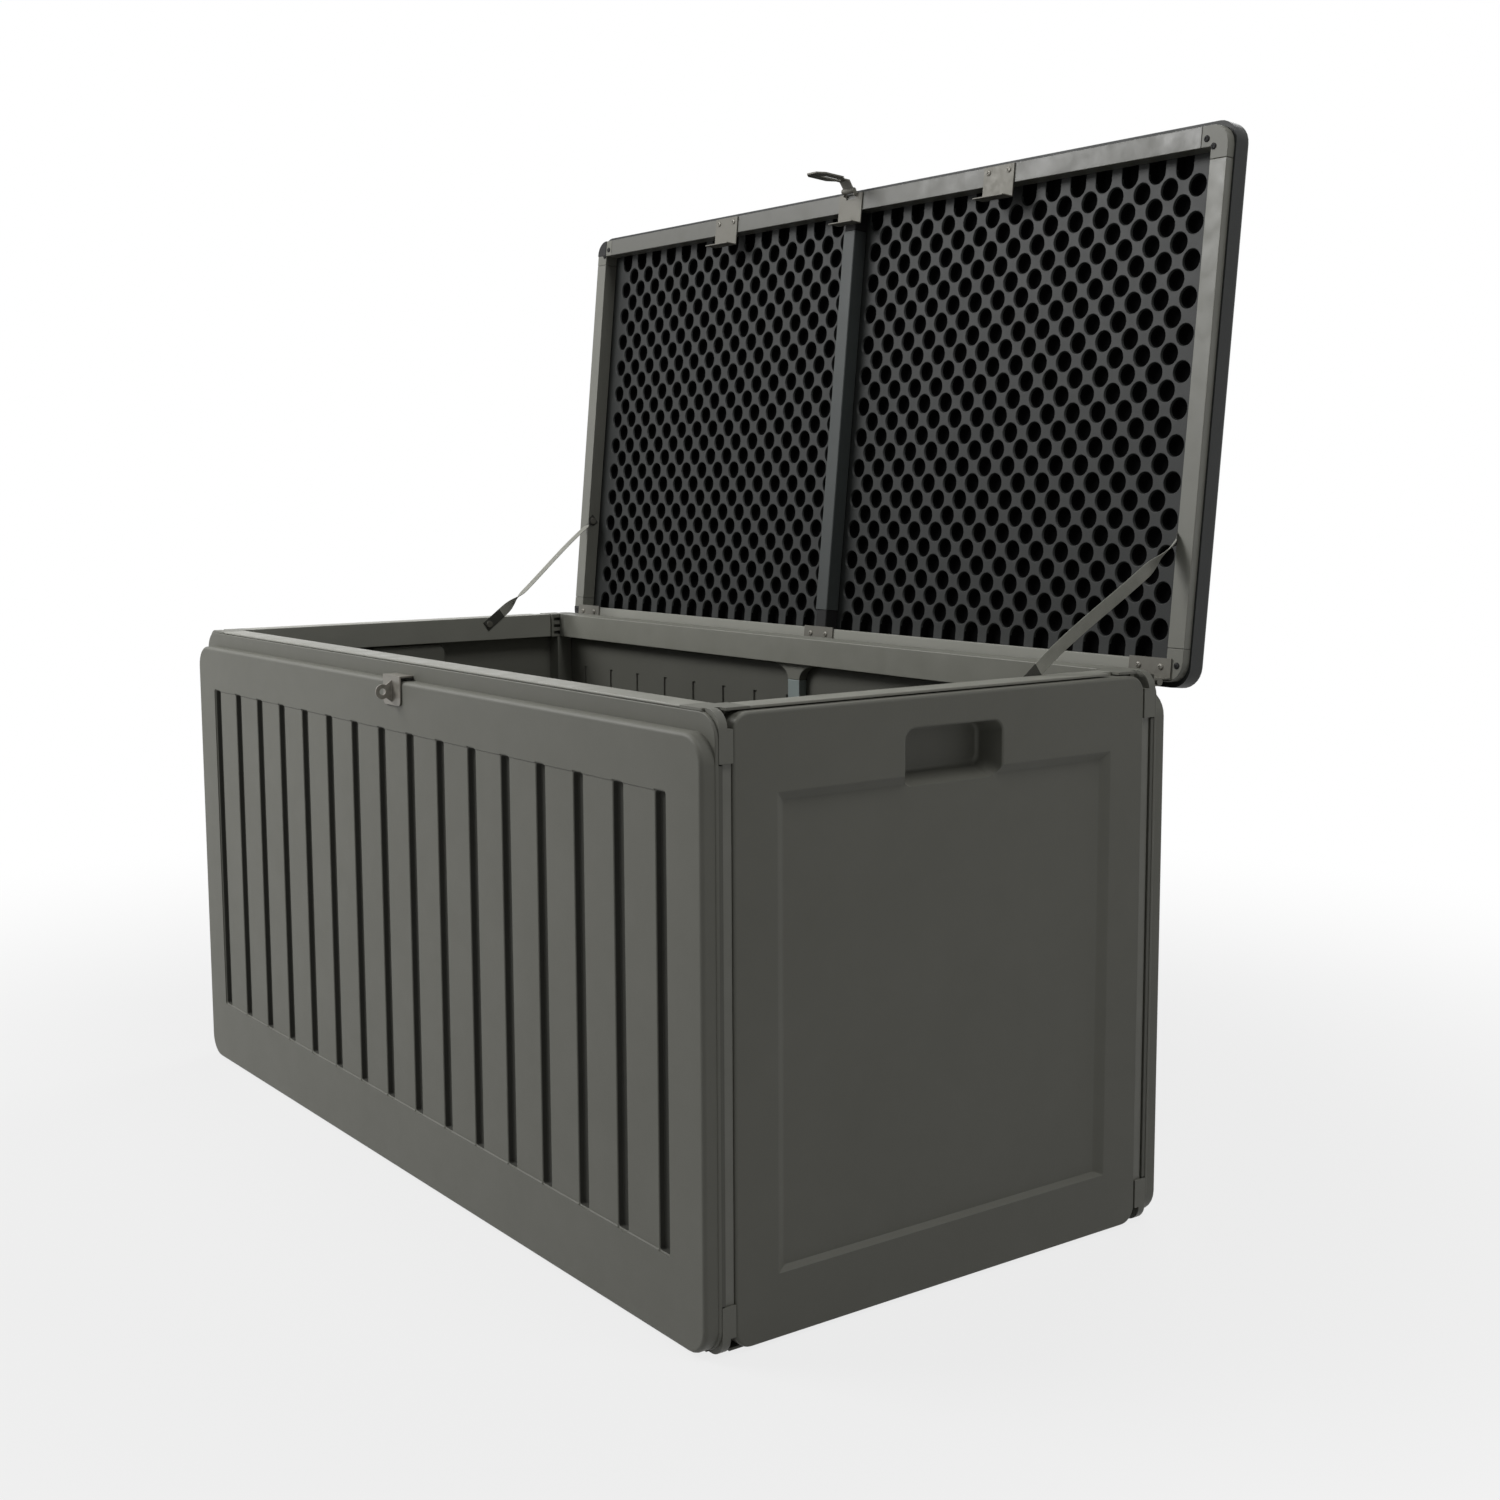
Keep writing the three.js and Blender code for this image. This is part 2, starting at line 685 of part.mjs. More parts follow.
// The head over the post's nose, rounded like the panel's corner, and the wider leg under it.
function connectorHead() {
  const legFace = endFace + LEG_STANDS_PROUD;
  const legBack = stripFace + GAP;
  const legTop = RIM_HEIGHT - HEAD_RADIUS;
  const outerSide = flangeBack - GAP;
  const leg = polygon([
    [frameX, railUnderside],
    [legBack, railUnderside],
    [legBack, RIM_HEIGHT - LEG_UNDER_RIM],
    [legFace, RIM_HEIGHT - LEG_UNDER_RIM],
    [legFace, legTop],
    [frameX, legTop],
  ]);
  const head = new THREE.Shape();
  head.moveTo(frameX, railUnderside);
  head.lineTo(legFace, railUnderside);
  head.lineTo(legFace, legTop);
  head.absarc(legFace - HEAD_RADIUS, legTop, HEAD_RADIUS, 0, Math.PI / 2, false);
  head.lineTo(frameX, RIM_HEIGHT);
  return join(
    alongY(leg, stripInner, outerSide),
    alongY(head, outerSide - HEAD_WIDTH, outerSide),
    block(frameX - TUBE_WALL, frameX + TUBE_WALL, stripInner, frameY, railUnderside, RIM_HEIGHT),
  );
}

function connectorPlugs() {
  const spare = TUBE_WALL + GAP;
  const railY = [frameY - RAIL_WIDTH + spare, frameY - spare];
  const railX = [frameX - RAIL_WIDTH + spare, frameX - spare];
  const railZ = [railUnderside + spare, RIM_HEIGHT - spare];
  const armX = frameX - CONNECTOR_ARM;
  const armY = frameY - CONNECTOR_ARM;
  return [
    block(armX - PLUG_LENGTH, armX + spare, ...railY, ...railZ),
    block(...railX, armY - PLUG_LENGTH, armY + spare, ...railZ),
    block(frameX - POST_SIZE + spare, frameX - spare, frameY - POST_SIZE + spare, frameY - spare,
      railUnderside - POST_PLUG_LENGTH, railUnderside + spare),
  ];
}

// The slots that core out the arm along the end, open to the inside of the box.
function coreSlots() {
  const face = frameX - POST_SIZE;
  const pitch = (RAIL_HEIGHT - CORE_SLOT_MARGIN) / CORE_SLOTS;
  const slots = [];
  for (let i = 0; i < CORE_SLOTS; i += 1) {
    const z = railUnderside + CORE_SLOT_MARGIN + i * pitch;
    slots.push(block(face - GAP, face + CORE_SLOT_DEPTH,
      frameY - CONNECTOR_ARM + CORE_SLOT_MARGIN, frameY - CORE_SLOT_MARGIN,
      z, z + CORE_SLOT_HEIGHT));
  }
  return slots;
}

// The top connector of the corner where X and Y are positive.
function cornerConnector() {
  const armX = frameX - CONNECTOR_ARM;
  const armY = frameY - CONNECTOR_ARM;
  const lipZ = RIM_HEIGHT - LIP_THICKNESS;
  const body = join(
    block(armX, frameX, frameY - RAIL_WIDTH, frameY, railUnderside, RIM_HEIGHT),
    block(frameX - POST_SIZE, frameX, armY, frameY, railUnderside, RIM_HEIGHT),
    block(armX, frameX, frameY - TUBE_WALL, frameY + LIP_REACH, lipZ, RIM_HEIGHT),
    block(frameX - TUBE_WALL, frameX + LIP_REACH, armY, stripInner + GAP, lipZ, RIM_HEIGHT),
    connectorHead(),
    ...connectorPlugs(),
  );
  return cut(body, ...coreSlots());
}

function addConnectors(group) {
  const pattern = cornerConnector();
  for (const [corner, signX, signY] of CORNERS) {
    const top = mirrored(pattern, signX, signY, 1);
    const bottom = mirrored(pattern, signX, signY, -1).translate(0, 0, RIM_HEIGHT);
    addMesh(group, `${corner}_top_connector`, top, connectorPlastic);
    addMesh(group, `${corner}_bottom_connector`, bottom, connectorPlastic);
  }
}

// ---------------------------------------------------------------- back centre post

// A fitting that flares from the post's width to the rail, with a plug for the post's bore.
function tee() {
  const half = POST_SIZE / 2;
  const wide = TEE_WIDTH / 2;
  const top = railUnderside - GAP;
  const foot = top - TEE_HEIGHT;
  const profile = new THREE.Shape();
  profile.moveTo(-half, foot);
  profile.lineTo(half, foot);
  profile.quadraticCurveTo(half, top - TEE_HEIGHT / 3, wide, top - TUBE_WALL);
  profile.lineTo(wide, top);
  profile.lineTo(-wide, top);
  profile.lineTo(-wide, top - TUBE_WALL);
  profile.quadraticCurveTo(-half, top - TEE_HEIGHT / 3, -half, foot);
  const spare = TUBE_WALL + GAP;
  const front = frameY - CENTRE_POST_DEPTH;
  const fitting = join(
    alongY(profile, front, frameY, 5),
    block(spare - half, half - spare, front + spare, frameY - spare, foot - PLUG_LENGTH,
      foot + TUBE_WALL),
  );
  return fitting.translate(BACK_SEAM_X, 0, 0);
}

function addCentrePost(group) {
  const half = POST_SIZE / 2;
  const depth = CENTRE_POST_DEPTH / 2;
  const foot = RAIL_HEIGHT + TEE_HEIGHT + 2 * GAP;
  const head = RIM_HEIGHT - foot;
  const rectangle = (x, y) => polygon([[-x, -y], [x, -y], [x, y], [-x, y]]);
  const section = rectangle(half, depth);
  section.holes.push(rectangle(half - TUBE_WALL, depth - TUBE_WALL));
  const post = alongZ(section, foot, head).translate(BACK_SEAM_X, frameY - depth, 0);
  addMesh(group, 'back_centre_post', post, postMetal);
  const lower = mirrored(tee(), 1, 1, -1).translate(0, 0, RIM_HEIGHT);
  addMesh(group, 'back_post_top_tee', tee(), connectorPlastic);
  addMesh(group, 'back_post_bottom_tee', lower, connectorPlastic);
}

// ---------------------------------------------------------------- floor

// Half of the floor, notched at its outer corners round the posts, with shallow ribs above.
function floorPanel() {
  const z0 = LIP_THICKNESS + GAP;
  const x0 = POST_SIZE / 2 + GAP;
  const x1 = frameX - RAIL_WIDTH - GAP;
  const y1 = frameY - RAIL_WIDTH - GAP;
  const notchX = frameX - CONNECTOR_ARM - GAP;
  const notchY = frameY - CONNECTOR_ARM - GAP;
  const outline = polygon([
    [x0, -y1], [notchX, -y1], [notchX, -notchY], [x1, -notchY],
    [x1, notchY], [notchX, notchY], [notchX, y1], [x0, y1],
  ]);
  const slab = alongZ(outline, z0, z0 + FLOOR_THICKNESS);
  const ribs = [];
  for (let x = x0 + FLOOR_RIB_PITCH / 2; x < notchX - FLOOR_RIB_WIDTH; x += FLOOR_RIB_PITCH) {
    const mouth = { x0: x, x1: x + FLOOR_RIB_WIDTH, y0: -notchY, y1: notchY, r: 0 };
    ribs.push(loft([
      { ...inset(mouth, FLOOR_RIB_DEPTH), z: z0 + FLOOR_THICKNESS - FLOOR_RIB_DEPTH },
      { ...mouth, z: z0 + FLOOR_THICKNESS + GAP },
    ]));
  }
  return cut(slab, ...ribs);
}

function addFloor(group) {
  addMesh(group, 'floor_panel_right', floorPanel(), shellPlastic);
  addMesh(group, 'floor_panel_left', mirrored(floorPanel(), -1, 1, 1), shellPlastic);
  const half = POST_SIZE / 2;
  const spanY = frameY - RAIL_WIDTH - GAP;
  const baseY = spanY - LEDGE_REACH;
  const top = LIP_THICKNESS + GAP + FLOOR_THICKNESS;
  const centreRail = join(
    block(-half - LEDGE_REACH, half + LEDGE_REACH, -baseY, baseY, 0, LIP_THICKNESS),
    block(-half, half, -baseY, baseY, 0, top),
    block(-half, half, -spanY, spanY, LIP_THICKNESS + GAP, top),
  );
  addMesh(group, 'floor_centre_rail', centreRail, framePaint);
}

// ---------------------------------------------------------------- staple

// The padlock ear in Y and Z, from the staple's plate to its rounded tip.
function earSection() {
  const base = -(sideFace + GAP);
  const tip = base - STAPLE_PLATE - EAR_REACH + EAR_TIP_RADIUS;
  const half = EAR_HEIGHT / 2;
  const ear = new THREE.Shape();
  ear.moveTo(base, earCentre - half);
  ear.lineTo(base, earCentre + half);
  ear.absarc(tip, earCentre, EAR_TIP_RADIUS, Math.PI / 3, (5 * Math.PI) / 3, false);
  ear.lineTo(base, earCentre - half);
  const hole = new THREE.Path();
  hole.absarc(tip, earCentre, PADLOCK_HOLE / 2, 0, 2 * Math.PI, true);
  ear.holes.push(hole);
  return ear;
}

function addStaple(group) {
  const underside = panelTop - FLANGE_AT_TOP + STAPLE_OVER_LEDGE;
  const top = underside + STAPLE_PLATE;
  const back = -(sideFace + GAP);
  const half = STAPLE_WIDTH / 2;
  const plate = {
    x0: -half,
    x1: half,
    y0: RIM_HEIGHT - STAPLE_UNDER_RIM,
    y1: top,
    r: [STAPLE_CORNER, STAPLE_CORNER, 0, 0],
  };
  const staple = join(
    towardsFront(loft([{ ...plate, z: -back }, { ...plate, z: STAPLE_PLATE - back }])),
    block(-half, half, back - STAPLE_PLATE / 2, -(flangeFace + GAP), underside, top),
    alongX(earSection(), -STAPLE_PLATE / 2, STAPLE_PLATE / 2, 8),
  );
  addMesh(group, 'staple', staple, plateSteel);
}

// ---------------------------------------------------------------- hinges

function knuckle(x0, x1, y, z, radius, bore) {
  const ring = new THREE.Shape();
  ring.absarc(y, z, radius, 0, 2 * Math.PI, false);
  const hole = new THREE.Path();
  hole.absarc(y, z, bore, 0, 2 * Math.PI, true);
  ring.holes.push(hole);
  return alongX(ring, x0, x1, 7);
}

// The leaf on the back flange: a plate, and a web out to a knuckle at each end of the riveted pin.
function boxLeaf(x) {
  const half = HINGE_WIDTH / 2;
  const plateY = flangeFace + GAP;
  const webZ = pivotZ - KNUCKLE_RADIUS;
  const inner = LID_KNUCKLE_WIDTH / 2 + GAP;
  const parts = [
    block(x - half, x + half, plateY, plateY + HINGE_PLATE, webZ, panelTop),
    cylinderAlongX(HINGE_PIN_RADIUS, x - half, x + half, pivotY, pivotZ),
  ];
  for (const [x0, x1] of [[x - half, x - inner], [x + inner, x + half]]) {
    parts.push(cylinderAlongX(KNUCKLE_RADIUS, x0, x1, pivotY, pivotZ, 14));
    parts.push(block(x0, x1, plateY, pivotY, webZ, webZ + HINGE_PLATE));
  }
  return join(...parts);
}

// The leaf on the lid, closed: up from the middle knuckle and forward under the rear lid rail.
function lidLeaf(x) {
  const half = HINGE_WIDTH / 2;
  const neck = LID_KNUCKLE_WIDTH / 2;
  const plateTop = lidUnderside - PLATE_LIFT;
  const front = pivotY - KNUCKLE_RADIUS;
  const aboveKnuckles = pivotZ + KNUCKLE_RADIUS + 2 * GAP;
  return join(
    knuckle(x - neck, x + neck, pivotY, pivotZ, KNUCKLE_RADIUS, HINGE_PIN_RADIUS + GAP),
    block(x - neck, x + neck, front, front + HINGE_PLATE, pivotZ, plateTop),
    block(x - half, x + half, front, front + HINGE_PLATE, aboveKnuckles, plateTop),
    block(x - half, x + half, pivotY - LID_LEAF_REACH, front + HINGE_PLATE,
      plateTop - HINGE_PLATE, plateTop),
  );
}

const HINGES = [['left', -hingeX], ['centre', 0], ['right', hingeX]];

function addBoxHinges(group) {
  for (const [side, x] of HINGES) {
    addMesh(group, `${side}_hinge_box_leaf`, boxLeaf(x), plateSteel);
  }
}

// ---------------------------------------------------------------- lid, modelled closed

// The right half of the cover: a slab with a skirt that hangs down over the rails.
function lidShell() {
  const skirtZ = lidPanelUnderside - GAP - SKIRT_HEIGHT;
  const topZ = lidPanelUnderside + LID_PANEL_THICKNESS;
  const outline = {
    x0: GAP,
    x1: lidEnd,
    y0: lidFront,
    y1: lidBack,
    r: [0, LID_CORNER, LID_CORNER, 0],
  };
  const pocket = {
    x0: -GAP,
    x1: lidRailX + GAP,
    y0: lidRailFront - GAP,
    y1: lidRailBack + GAP,
    r: [0, LID_CORNER - SKIRT_SIDE, LID_CORNER - SKIRT_SIDE, 0],
  };
  const keepMiddle = (level, amount) => ({ ...inset(level, amount), x0: level.x0 });
  return cut(
    loft(roundedTop(outline, skirtZ, topZ, LID_EDGE, 3, keepMiddle)),
    loft([{ ...pocket, z: skirtZ - GAP }, { ...pocket, z: lidPanelUnderside }]),
  );
}

// The staggered pits moulded into the underside of the right half, row by row from the front. The
// stagger is 1 where the front row starts half a pitch further out.
function dimples(stagger) {
  const fromEdge = DIMPLE_MARGIN + DIMPLE_RADIUS;
  const x0 = LID_RAIL_WIDTH / 2 + fromEdge;
  const x1 = lidRailX - LID_RAIL_WIDTH - fromEdge;
  const depthY = lidRailBack - lidRailFront - 2 * (LID_RAIL_WIDTH + DIMPLE_RADIUS);
  const steps = Math.floor(depthY / DIMPLE_ROW_PITCH);
  const y0 = (lidRailFront + lidRailBack - steps * DIMPLE_ROW_PITCH) / 2;
  const pit = new THREE.ConeGeometry(DIMPLE_RADIUS, DIMPLE_DEPTH + GAP, DIMPLE_SIDES);
  pit.rotateX(Math.PI / 2).translate(0, 0, lidPanelUnderside + (DIMPLE_DEPTH - GAP) / 2);
  const pits = [];
  for (let row = 0; row <= steps; row += 1) {
    const start = x0 + ((row + stagger) % 2) * (DIMPLE_PITCH / 2);
    for (let x = start; x <= x1; x += DIMPLE_PITCH) {
      pits.push(pit.clone().translate(x, y0 + row * DIMPLE_ROW_PITCH, 0));
    }
  }
  return pits;
}

// The right half of the cover, pitted below.
function lidPanel(stagger) {
  return cut(lidShell(), ...dimples(stagger));
}

// A rectangular tube for the lid's frame, centred on its own axis.
function lidTube(length) {
  const halfWidth = LID_RAIL_WIDTH / 2;
  const halfHeight = LID_RAIL_HEIGHT / 2;
  const rectangle = (a, b) => polygon([[-a, -b], [a, -b], [a, b], [-a, b]]);
  const section = rectangle(halfWidth, halfHeight);
  section.holes.push(rectangle(halfWidth - LID_RAIL_WALL, halfHeight - LID_RAIL_WALL));
  return extrude(section, length).translate(0, 0, -length / 2);
}

function addLidRails(group) {
  const middleY = (lidRailFront + lidRailBack) / 2;
  const middleZ = lidUnderside + LID_RAIL_HEIGHT / 2;
  const half = LID_RAIL_WIDTH / 2;
  const alongLength = 2 * (lidRailX - LID_ARM - GAP);
  const alongDepth = lidRailBack - lidRailFront - 2 * (LID_ARM + GAP);
  const rails = [
    ['lid_front_rail', BACK, 0, lidRailFront + half, alongLength],
    ['lid_back_rail', BACK, 0, lidRailBack - half, alongLength],
    ['lid_left_rail', RIGHT, -lidRailX + half, middleY, alongDepth],
    ['lid_right_rail', RIGHT, lidRailX - half, middleY, alongDepth],
  ];
  for (const [name, across, x, y, length] of rails) {
    const tube = turned(lidTube(length), across, UP).translate(x, y, middleZ);
    addMesh(group, name, tube, framePaint);
  }
}

// The connector of the lid's corner at positive X and Y, with its outer corner at the origin.
function lidConnector() {
  const radius = LID_CORNER - SKIRT_SIDE - GAP;
  const spare = LID_RAIL_WALL + GAP;
  const outline = new THREE.Shape();
  outline.moveTo(-LID_ARM, 0);
  outline.lineTo(-LID_ARM, -LID_RAIL_WIDTH);
  outline.lineTo(-LID_RAIL_WIDTH, -LID_RAIL_WIDTH);
  outline.lineTo(-LID_RAIL_WIDTH, -LID_ARM);
  outline.lineTo(0, -LID_ARM);
  outline.lineTo(0, -radius);
  outline.absarc(-radius, -radius, radius, 0, Math.PI / 2, false);
  const inside = [spare - LID_RAIL_WIDTH, -spare];
  const plugZ = [spare, LID_RAIL_HEIGHT - spare];
  return join(
    alongZ(outline, 0, LID_RAIL_HEIGHT, ARC_STEPS / 2),
    block(-LID_ARM - LID_PLUG_LENGTH, -LID_ARM + spare, ...inside, ...plugZ),
    block(...inside, -LID_ARM - LID_PLUG_LENGTH, -LID_ARM + spare, ...plugZ),
  );
}

function addLidConnectors(group) {
  const pattern = lidConnector();
  for (const [corner, signX, signY] of CORNERS) {
    const y = signY > 0 ? lidRailBack : lidRailFront;
    const connector = mirrored(pattern, signX, signY, 1).translate(signX * lidRailX, y, lidUnderside);
    addMesh(group, `lid_${corner}_connector`, connector, connectorPlastic);
  }
}

function addLidPanels(group) {
  addMesh(group, 'lid_panel_right', lidPanel(0), lidPlastic);
  addMesh(group, 'lid_panel_left', mirrored(lidPanel(1), -1, 1, 1), lidPlastic);
}

// The bar under the seam of the cover, between the front and back rails and level with them.
function addCentreBar(group) {
  const length = lidRailBack - lidRailFront - 2 * (LID_RAIL_WIDTH + GAP);
  const middleY = (lidRailFront + lidRailBack) / 2;
  const bar = turned(lidTube(length), RIGHT, UP);
  bar.translate(0, middleY, lidUnderside + LID_RAIL_HEIGHT / 2);
  addMesh(group, 'lid_centre_bar', bar, barPlastic);
}

// ---------------------------------------------------------------- clips, hasp bracket and hasp

const tongueFace = -(frameY - RAIL_WIDTH - CLIP_CLEARANCE);
const bracketFront = lidRailFront + GAP;

// A bent plate under the lid's front rail, whose tongue goes down behind the body's front rail.
function bentClip(x, width) {
  const half = width / 2;
  const top = lidUnderside - PLATE_LIFT;
  const tongueBack = tongueFace + HINGE_PLATE;
  return join(
    block(x - half, x + half, bracketFront, tongueBack, top - HINGE_PLATE, top),
    block(x - half, x + half, tongueFace, tongueBack, top - CLIP_TONGUE, top),
  );
}

const haspPinY = -(flangeFace + HASP_PIN_AHEAD);
const haspPinZ = RIM_HEIGHT - HASP_PIN_UNDER_RIM;

// The clip's form with two lugs and the riveted pin that the hasp turns on.
function haspBracket() {
  const top = lidUnderside - PLATE_LIFT;
  const inner = HASP_BAR_WIDTH / 2 + GAP;
  const outer = inner + LUG_PLATE;
  const notch = block(-inner, inner, bracketFront - GAP, bracketFront + 2 * HASP_KNUCKLE_RADIUS,
    top - CLIP_TONGUE, top + GAP);
  const parts = [
    cut(bentClip(0, BRACKET_WIDTH), notch),
    cylinderAlongX(HASP_PIN_RADIUS, -outer, outer, haspPinY, haspPinZ),
  ];
  for (const side of [-outer, inner]) {
    const lug = cylinderAlongX(HASP_KNUCKLE_RADIUS, side, side + LUG_PLATE, haspPinY, haspPinZ, 16);
    const neck = block(side, side + LUG_PLATE, haspPinY, bracketFront + HASP_KNUCKLE_RADIUS,
      haspPinZ, top);
    parts.push(join(lug, neck));
  }
  return join(...parts);
}

// The hasp's loop, flat in X and Z: a bar that widens, with a slot for the ear.
function haspLoop() {
  const bar = HASP_BAR_WIDTH / 2;
  const wide = HASP_LOOP_WIDTH / 2;
  const slot = HASP_SLOT_WIDTH / 2;
  const slotTop = earCentre + EAR_HEIGHT / 2 + HASP_SLOT_SPARE;
  const slotBottom = earCentre - EAR_HEIGHT / 2 - HASP_SLOT_SPARE;
  const knee = RIM_HEIGHT - HASP_KNEE_UNDER_RIM;
  const end = RIM_HEIGHT - HASP_END_UNDER_RIM;
  const chamfer = wide - bar;
  const loop = polygon([
    [-bar, knee], [-bar, slotTop], [-wide, slotTop - chamfer],
    [-wide, end + chamfer], [-bar, end], [bar, end], [wide, end + chamfer],
    [wide, slotTop - chamfer], [bar, slotTop], [bar, knee],
  ]);
  const slotPath = new THREE.Path();
  slotPath.moveTo(slot, slotBottom + slot);
  slotPath.lineTo(slot, slotTop - slot);
  slotPath.absarc(0, slotTop - slot, slot, 0, Math.PI, false);
  slotPath.lineTo(-slot, slotBottom + slot);
  slotPath.absarc(0, slotBottom + slot, slot, Math.PI, 2 * Math.PI, false);
  loop.holes.push(slotPath);
  return loop;
}

// The hasp as it hangs when latched: knuckle, crank over the panel's ledge, and loop.
function hasp() {
  const half = HASP_BAR_WIDTH / 2;
  const back = -(sideFace + GAP + STAPLE_PLATE + HASP_CLEARANCE);
  const front = back - HASP_THICKNESS;
  const bore = HASP_PIN_RADIUS + GAP;
  const knee = RIM_HEIGHT - HASP_KNEE_UNDER_RIM;
  const crank = polygon([
    [haspPinY - bore, haspPinZ + HASP_THICKNESS / 2],
    [front, knee + HASP_THICKNESS / 2],
    [front, knee - HASP_THICKNESS],
    [back, knee - HASP_THICKNESS],
    [back, knee - HASP_THICKNESS / 2],
    [haspPinY - bore, haspPinZ - HASP_THICKNESS],
  ]);
  return join(
    knuckle(-half, half, haspPinY, haspPinZ, HASP_KNUCKLE_RADIUS, bore),
    alongX(crank, -half, half),
    alongY(haspLoop(), front, back, 4),
  );
}

function addLidHardware(group) {
  for (const [side, x] of HINGES) {
    addMesh(group, `${side}_hinge_lid_leaf`, lidLeaf(x), plateSteel);
  }
  addMesh(group, 'left_lid_clip', bentClip(-clipX, CLIP_WIDTH), plateSteel);
  addMesh(group, 'right_lid_clip', bentClip(clipX, CLIP_WIDTH), plateSteel);
  addMesh(group, 'hasp_bracket', haspBracket(), plateSteel);
  addMesh(group, 'hasp', hasp(), plateSteel);
}

// ---------------------------------------------------------------- straps

const openTurn = THREE.MathUtils.degToRad(-OPEN_ANGLE);
const boxRailFaceX = frameX - RAIL_WIDTH;
const lidRailFaceX = lidRailX - LID_RAIL_WIDTH;
const strapBoxZ = RIM_HEIGHT - STRAP_UNDER_RIM;
const strapBoxY = pivotY - STRAP_BOX_FORWARD;
const strapLidY = pivotY - STRAP_LID_FORWARD;
const strapLidZ = lidUnderside + STRAP_LID_DEPTH;

// The lid end of the strap when the lid stands open, in Y and Z.
function openLidEnd() {
  const forward = strapLidY - pivotY;
  const up = strapLidZ - pivotZ;
  return [
    pivotY + forward * Math.cos(openTurn) - up * Math.sin(openTurn),
    pivotZ + forward * Math.sin(openTurn) + up * Math.cos(openTurn),
  ];
}

// A rivet on a rail's inner face: a shank through the strap and a round head over it.
function rivet(faceX, y, z) {
  const strapFace = faceX - 2 * GAP - STRAP_THICKNESS;
  return join(
    cylinderAlongX(RIVET_RADIUS, strapFace - GAP, faceX - GAP, y, z, 10),
    cylinderAlongX(RIVET_HEAD_RADIUS, strapFace - RIVET_HEAD, strapFace, y, z, 12),
  );
}

// The right strap, drawn tight: a flat tab on each rail and a straight run between them.
function strap() {
  const [lidY, lidZ] = openLidEnd();
  const run = Math.hypot(lidY - strapBoxY, lidZ - strapBoxZ);
  const boxX = boxRailFaceX - GAP;
  const lidX = lidRailFaceX - GAP;
  const outer = [
    [-STRAP_TAIL, boxX],
    [STRAP_BOX_TAB, boxX],
    [run - STRAP_LID_TAB, lidX],
    [run + STRAP_TAIL, lidX],
  ];
  const inner = outer.map(([along, x]) => [along, x - STRAP_THICKNESS]).reverse();
  const ribbon = extrude(polygon([...outer, ...inner]), STRAP_WIDTH).translate(0, 0, -STRAP_WIDTH / 2);
  const along = [0, (lidY - strapBoxY) / run, (lidZ - strapBoxZ) / run];
  const placed = turned(ribbon, along, RIGHT).translate(0, strapBoxY, strapBoxZ);
  const hole = RIVET_RADIUS + GAP;
  return cut(
    placed,
    cylinderAlongX(hole, boxX - STRAP_TAIL, boxX + GAP, strapBoxY, strapBoxZ, 10),
    cylinderAlongX(hole, lidX - STRAP_TAIL, lidX + GAP, lidY, lidZ, 10),
  );
}

function addStraps(group) {
  addMesh(group, 'right_stay_strap', strap(), webbing);
  addMesh(group, 'left_stay_strap', mirrored(strap(), -1, 1, 1), webbing);
  addRivets(group, 'box', boxRailFaceX, strapBoxY, strapBoxZ);
}

function addRivets(group, owner, faceX, y, z) {
  const right = rivet(faceX, y, z);
  addMesh(group, `right_${owner}_strap_rivet`, right, plateSteel);
  addMesh(group, `left_${owner}_strap_rivet`, mirrored(right, -1, 1, 1), plateSteel);
}

// ---------------------------------------------------------------- assembly

const box = new THREE.Group();
addSidePanels(box);
addEndPanels(box);
addRails(box);
addPosts(box);
addConnectors(box);
addCentrePost(box);
addFloor(box);
addStaple(box);
addBoxHinges(box);
addStraps(box);

// The lid turns about the hinge axis, so its group hangs there and holds the closed lid.
const lid = new THREE.Group();
addLidPanels(lid);
addCentreBar(lid);
addLidRails(lid);
addLidConnectors(lid);
addLidHardware(lid);
addRivets(lid, 'lid', lidRailFaceX, strapLidY, strapLidZ);
lid.position.set(0, -pivotY, -pivotZ);

const lidHinge = new THREE.Group();
lidHinge.position.set(0, pivotY, pivotZ);
lidHinge.rotation.x = openTurn;
lidHinge.add(lid);

const deckBox = new THREE.Group();
deckBox.add(box, lidHinge);

export default deckBox;
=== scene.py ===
"""The deck storage box, dressed: moulded shells, softened metalwork, webbing, light and camera.

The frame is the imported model, in metres. Sizes in this script are in millimetres, as in the part's
source, and MM turns them into metres. X runs along the box, -Y is the front and +Z is up.
"""

import json
import math
from collections import namedtuple

import bmesh
import bpy
from mathutils import Matrix, Vector

